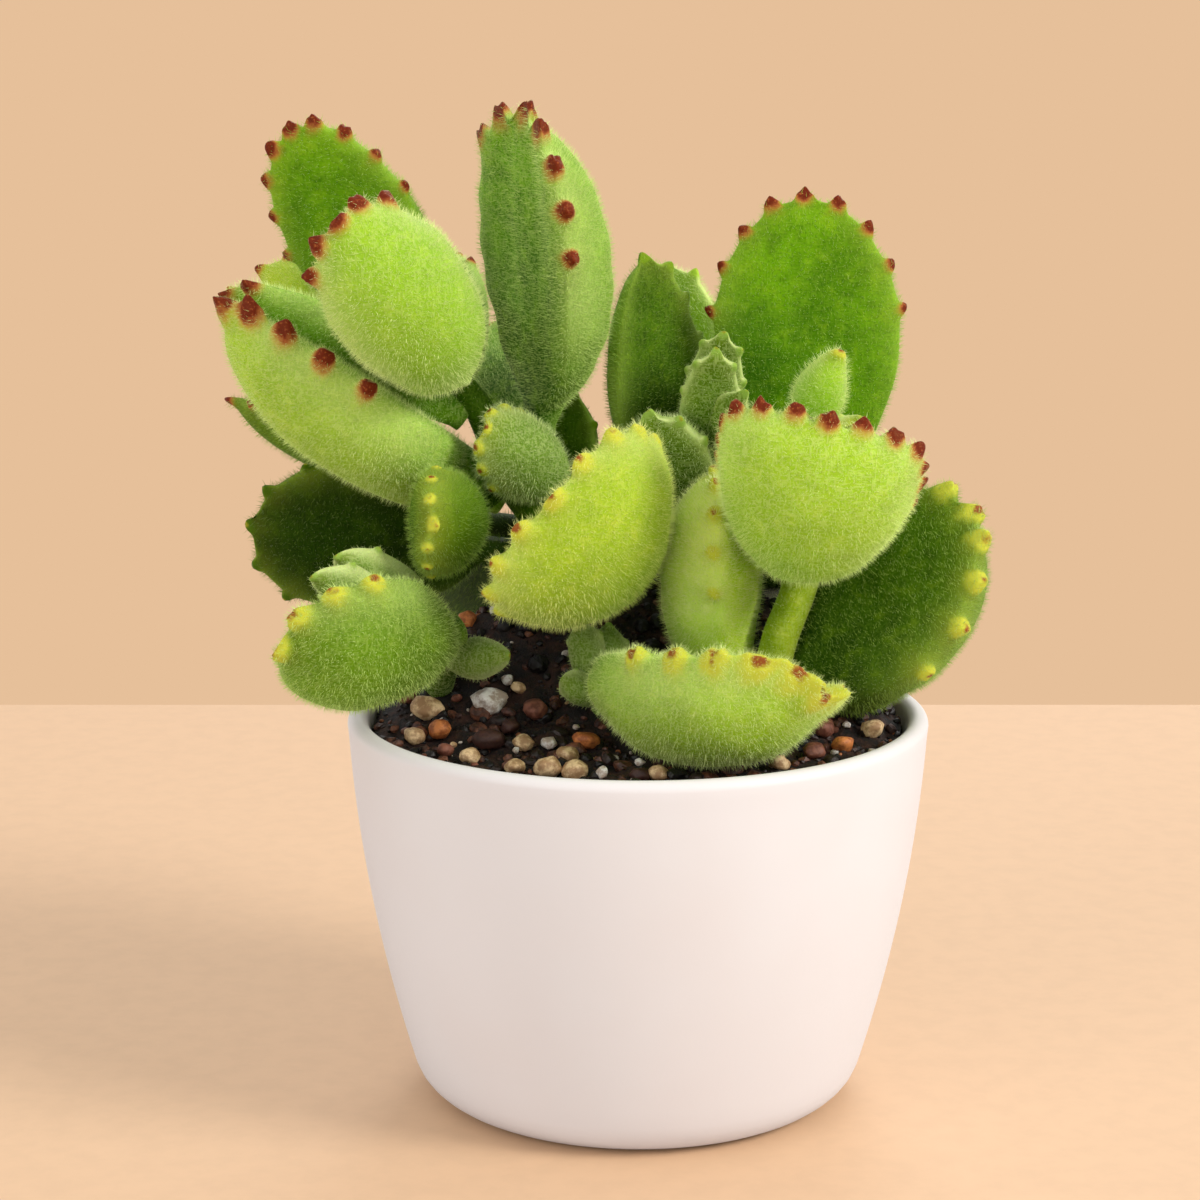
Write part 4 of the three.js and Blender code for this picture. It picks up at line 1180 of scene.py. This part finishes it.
class StageSettings(bpy.types.PropertyGroup):
    floor_color: color_setting("Floor colour", "Colour of the table top", srgb(224, 187, 149))
    wall_color: color_setting("Wall colour", "Colour behind the table", srgb(230, 192, 154))
    key_power: amount_setting(
        "Key power", "Power of the large soft lamp at the front right", 34.0, 500.0, **POWER)
    fill_power: amount_setting(
        "Fill power", "Power of the wide lamp at the front left", 12.0, 500.0, **POWER)
    back_power: amount_setting(
        "Back power", "Power of the lamp behind, which lights the down's edge", 8.0, 500.0,
        **POWER)


class MakePot(bpy.types.Operator):
    """Turns the white pot"""
    bl_idname = "bears_paw.pot"
    bl_label = "Pot"

    def execute(self, context):
        settings = context.scene.bears_paw_pot
        points, faces = turned(pot_profile(), settings.sides)
        pot = add_mesh("white_pot", points, faces)
        settle(pot, glaze_material(settings.glaze_color), ["pot"])
        return {"FINISHED"}


# The colours of crumbs and lumps of soil and of grains of grit, of 0 to 255.
CRUMB_COLORS = ((18, 9, 6), (36, 20, 14), (62, 36, 26), (24, 12, 9), (96, 56, 42), (48, 27, 19),
                (14, 7, 5), (122, 76, 54))
GRIT_COLORS = ((232, 224, 210), (214, 178, 128), (176, 112, 70), (140, 84, 60), (244, 240, 232))


class MakeSoil(bpy.types.Operator):
    """Fills the pot with soil, crumbs, grit and pebbles"""
    bl_idname = "bears_paw.soil"
    bl_label = "Soil"

    def execute(self, context):
        settings = context.scene.bears_paw_soil
        bed = add_mesh("soil_bed", *soil_shape())
        soil_and_shade = soil_material()
        tree = grain_tree()
        crumb = shaded_material("soil_crumb", CRUMB_COLORS, 0.5, (60, 46, 40), 0.3)
        grit = shaded_material("grit", GRIT_COLORS, 0.65, (150, 130, 112), 0.15)
        grains = [
            grown(name, bed, tree, {
                "Density": density / MM ** 2, "Smallest": smallest * MM, "Largest": largest * MM,
                "Roughness": roughness * MM, "Detail": detail, "Seed": seed,
                "Material": material})
            for name, density, smallest, largest, roughness, detail, seed, material in (
                ("soil_crumbs", settings.crumb_density, 0.35, 1.1, 0.5, 1, 3, crumb),
                ("soil_lumps", settings.lump_density, 0.9, 2.0, 0.9, 2, 4, crumb),
                ("soil_grit", settings.grit_density, 0.3, 0.9, 0.4, 2, 8, grit),
            )]
        settle(bed, soil_and_shade, ["soil"])
        for piece in grains:
            settle(piece)
        stone = shaded_material("pebble", list(PEBBLE_KINDS.values()), 0.6, (150, 116, 86), 0.25)
        settle(add_mesh("pebbles", *pebble_shapes()), stone)
        return {"FINISHED"}


# How hairs lean to the tip and to all sides, and how much thinner and shorter they are on stems
# and thinner on the rear leaves.
HAIR_LEAN, HAIR_SCATTER = 0.3, 0.42
STEM_HAIR_SHARE, STEM_HAIR_LENGTH = 0.5, 0.6
STEM_SEED = 40
REAR_HAIR_SHARE = 0.5


def plain_material(name, color):
    return bpy.data.materials.get(name) or new_material(
        name, Base_Color=color, Roughness=0.55, Sheen_Weight=0.3)[0]


def down_on(base, context, seed, look, share=1.0, length=1.0):
    """The down of one piece, as a piece of its own."""
    settings = context.scene.bears_paw_plant
    tree = bpy.data.node_groups.get("Down") or down_tree()
    shade = tuple(a * b for a, b in zip(PALETTES[look]["hair"], settings.down_tint))
    return grown(base.name + "_down", base, tree, {
        "Density": settings.down_density * share / MM ** 2,
        "Length": settings.down_length * length, "Width": settings.down_width,
        "Lean": HAIR_LEAN, "Scatter": HAIR_SCATTER, "Seed": seed,
        "Material": plain_material(f"down_{look}", shade)})


class MakeStems(bpy.types.Operator):
    """Grows the stems with their young leaves"""
    bl_idname = "bears_paw.stems"
    bl_label = "Stems"

    def execute(self, context):
        for seed, (node, stem) in enumerate(STEMS.items(), STEM_SEED):
            shapes = [tube_shape(line, seed) for line in stem["lines"]]
            for leaf in stem["leaves"]:
                shapes.append(leaf_shape(leaf, seed, YOUNG_FINE_STEP, YOUNG_COARSE_STEP))
            piece = add_mesh(node + "_grown", *merged(shapes))
            look = stem["palette"]
            down = down_on(piece, context, seed, look, STEM_HAIR_SHARE, STEM_HAIR_LENGTH)
            settle(piece, leaf_material(look, "plain"), [node])
            settle(down)
        return {"FINISHED"}


class MakeLeaves(bpy.types.Operator):
    """Grows the large leaves with their claws and down"""
    bl_idname = "bears_paw.leaves"
    bl_label = "Leaves"

    def execute(self, context):
        for seed, (node, leaf) in enumerate(LEAVES.items()):
            piece = add_mesh(node + "_blade", *whole_leaf(leaf, seed))
            look = leaf["palette"]
            share = REAR_HAIR_SHARE if "rear" in node else 1.0
            down = down_on(piece, context, seed, look, share)
            settle(piece, leaf_material(look, leaf["claws"]), [node])
            settle(down)
        return {"FINISHED"}


# Camera, from the outline of the pot in the photograph, whose side is 1200 pixels.
PHOTO_SIDE = 1200
FOCAL_PIXELS = 2980.4
SENSOR = 36.0
CAMERA_PLACE = (-5.22, -400.6, 152.2)
CAMERA_DOWN = 11.66

# The table top runs back to here, where the photograph shows its edge against the wall.
TABLE_BACK = 225.0
TABLE_REACH = 3000.0
# What the table top and the room throw back on the plant.
FLOOR_BOUNCE = srgb(212, 194, 182)
ROOM_LIGHT = srgb(248, 246, 246)
ROOM_STRENGTH = 0.78
# Lamps in metres: the place of each, its width and its colour. They look at the leaves.
LAMP_AIM = (0, 0, 0.07)
LAMPS = {
    "key": ((1.7, -0.8, 1.25), 0.9, srgb(255, 252, 248)),
    "fill": ((-1.6, -1.5, 0.9), 1.6, srgb(255, 250, 248)),
    "back": ((0.3, 1.6, 1.3), 1.0, srgb(255, 252, 248)),
}


def camera_ray(tree):
    """1 where the stage is seen straight, and 0 where it only lights something."""
    return add_node(tree, "ShaderNodeLightPath").outputs["Is Camera Ray"]


def add_table(color):
    """The table top, which throws a paler light on the plant than it shows."""
    far = TABLE_REACH
    corners = [(-far, -far, 0), (far, -far, 0), (far, TABLE_BACK, 0), (-far, TABLE_BACK, 0)]
    table = add_mesh("table_top", corners, [(0, 1, 2, 3)], smooth=False)
    material, tree, shader = new_material("table_top", Roughness=0.6)
    grain = noise(tree, object_place(tree), 220.0, 4.0, 0.6)
    darker = tuple(0.96 * c for c in color[:3]) + (1.0,)
    shade = tint(tree, scaled(tree, grain, 0.35, 0.7), color, darker)
    shade = tint(tree, camera_ray(tree), FLOOR_BOUNCE, shade)
    tree.links.new(shade, shader.inputs["Base Color"])
    table.data.materials.append(material)


def add_room(wall_color):
    """The even light of a pale room, and the wall behind the table."""
    world = bpy.data.worlds.new("studio")
    world.use_nodes = True
    tree = world.node_tree
    sky = tree.nodes["Background"]
    seen = camera_ray(tree)
    tree.links.new(tint(tree, seen, ROOM_LIGHT, wall_color), sky.inputs["Color"])
    strength = arithmetic(tree, "ADD", product(tree, seen, 1 - ROOM_STRENGTH), ROOM_STRENGTH)
    tree.links.new(strength, sky.inputs["Strength"])
    return world


def add_lamp(name, power):
    """A round soft lamp that looks at the leaves."""
    place, width, color = LAMPS[name]
    lamp = bpy.data.lights.new(name, "AREA")
    lamp.shape, lamp.size, lamp.energy, lamp.color = "DISK", width, power, color[:3]
    holder = bpy.data.objects.new(name, lamp)
    bpy.context.scene.collection.objects.link(holder)
    holder.location = place
    way = Vector(LAMP_AIM) - Vector(place)
    holder.rotation_euler = way.to_track_quat("-Z", "Y").to_euler()


def add_camera():
    """The camera that the photograph was taken with, as the pot's outline gives it."""
    lens = bpy.data.cameras.new("camera")
    lens.sensor_width = SENSOR
    lens.lens = FOCAL_PIXELS / PHOTO_SIDE * SENSOR
    lens.clip_start, lens.clip_end = 0.01, 20.0
    camera = bpy.data.objects.new("camera", lens)
    camera.location = [c * MM for c in CAMERA_PLACE]
    camera.rotation_euler = (math.radians(90 - CAMERA_DOWN), 0, 0)
    bpy.context.scene.collection.objects.link(camera)
    return camera


class MakeStage(bpy.types.Operator):
    """Sets the table top, the light and the camera"""
    bl_idname = "bears_paw.stage"
    bl_label = "Stage"

    def execute(self, context):
        scene = context.scene
        settings = scene.bears_paw_stage
        add_table(settings.floor_color)
        scene.world = add_room(settings.wall_color)
        add_lamp("key", settings.key_power)
        add_lamp("fill", settings.fill_power)
        add_lamp("back", settings.back_power)
        scene.camera = add_camera()
        scene.view_settings.view_transform = "Standard"
        return {"FINISHED"}


class BearsPawPanel(bpy.types.Panel):
    """Lists the pieces of the potted bears paw"""
    bl_idname = "VIEW3D_PT_bears_paw"
    bl_label = "Bears paw"
    bl_space_type = "VIEW_3D"
    bl_region_type = "UI"
    bl_category = "Bears paw"

    def draw(self, context):
        for settings in SETTINGS:
            group = getattr(context.scene, settings)
            for name in group.bl_rna.properties.keys():
                if name not in ("rna_type", "name"):
                    self.layout.prop(group, name)
        for maker in MAKERS:
            self.layout.operator(maker.bl_idname)


MAKERS = (MakePot, MakeSoil, MakeStems, MakeLeaves, MakeStage)
SETTINGS = {
    "bears_paw_plant": PlantSettings,
    "bears_paw_pot": PotSettings,
    "bears_paw_soil": SoilSettings,
    "bears_paw_stage": StageSettings,
}


def register():
    for kind in (*SETTINGS.values(), *MAKERS, BearsPawPanel):
        bpy.utils.register_class(kind)
    for name, kind in SETTINGS.items():
        setattr(bpy.types.Scene, name, PointerProperty(type=kind))


def unregister():
    for name in SETTINGS:
        delattr(bpy.types.Scene, name)
    for kind in reversed((*SETTINGS.values(), *MAKERS, BearsPawPanel)):
        bpy.utils.unregister_class(kind)


def main():
    register()
    for maker in MAKERS:
        group, name = maker.bl_idname.split(".")
        getattr(getattr(bpy.ops, group), name)()


if __name__ == "__main__":
    main()
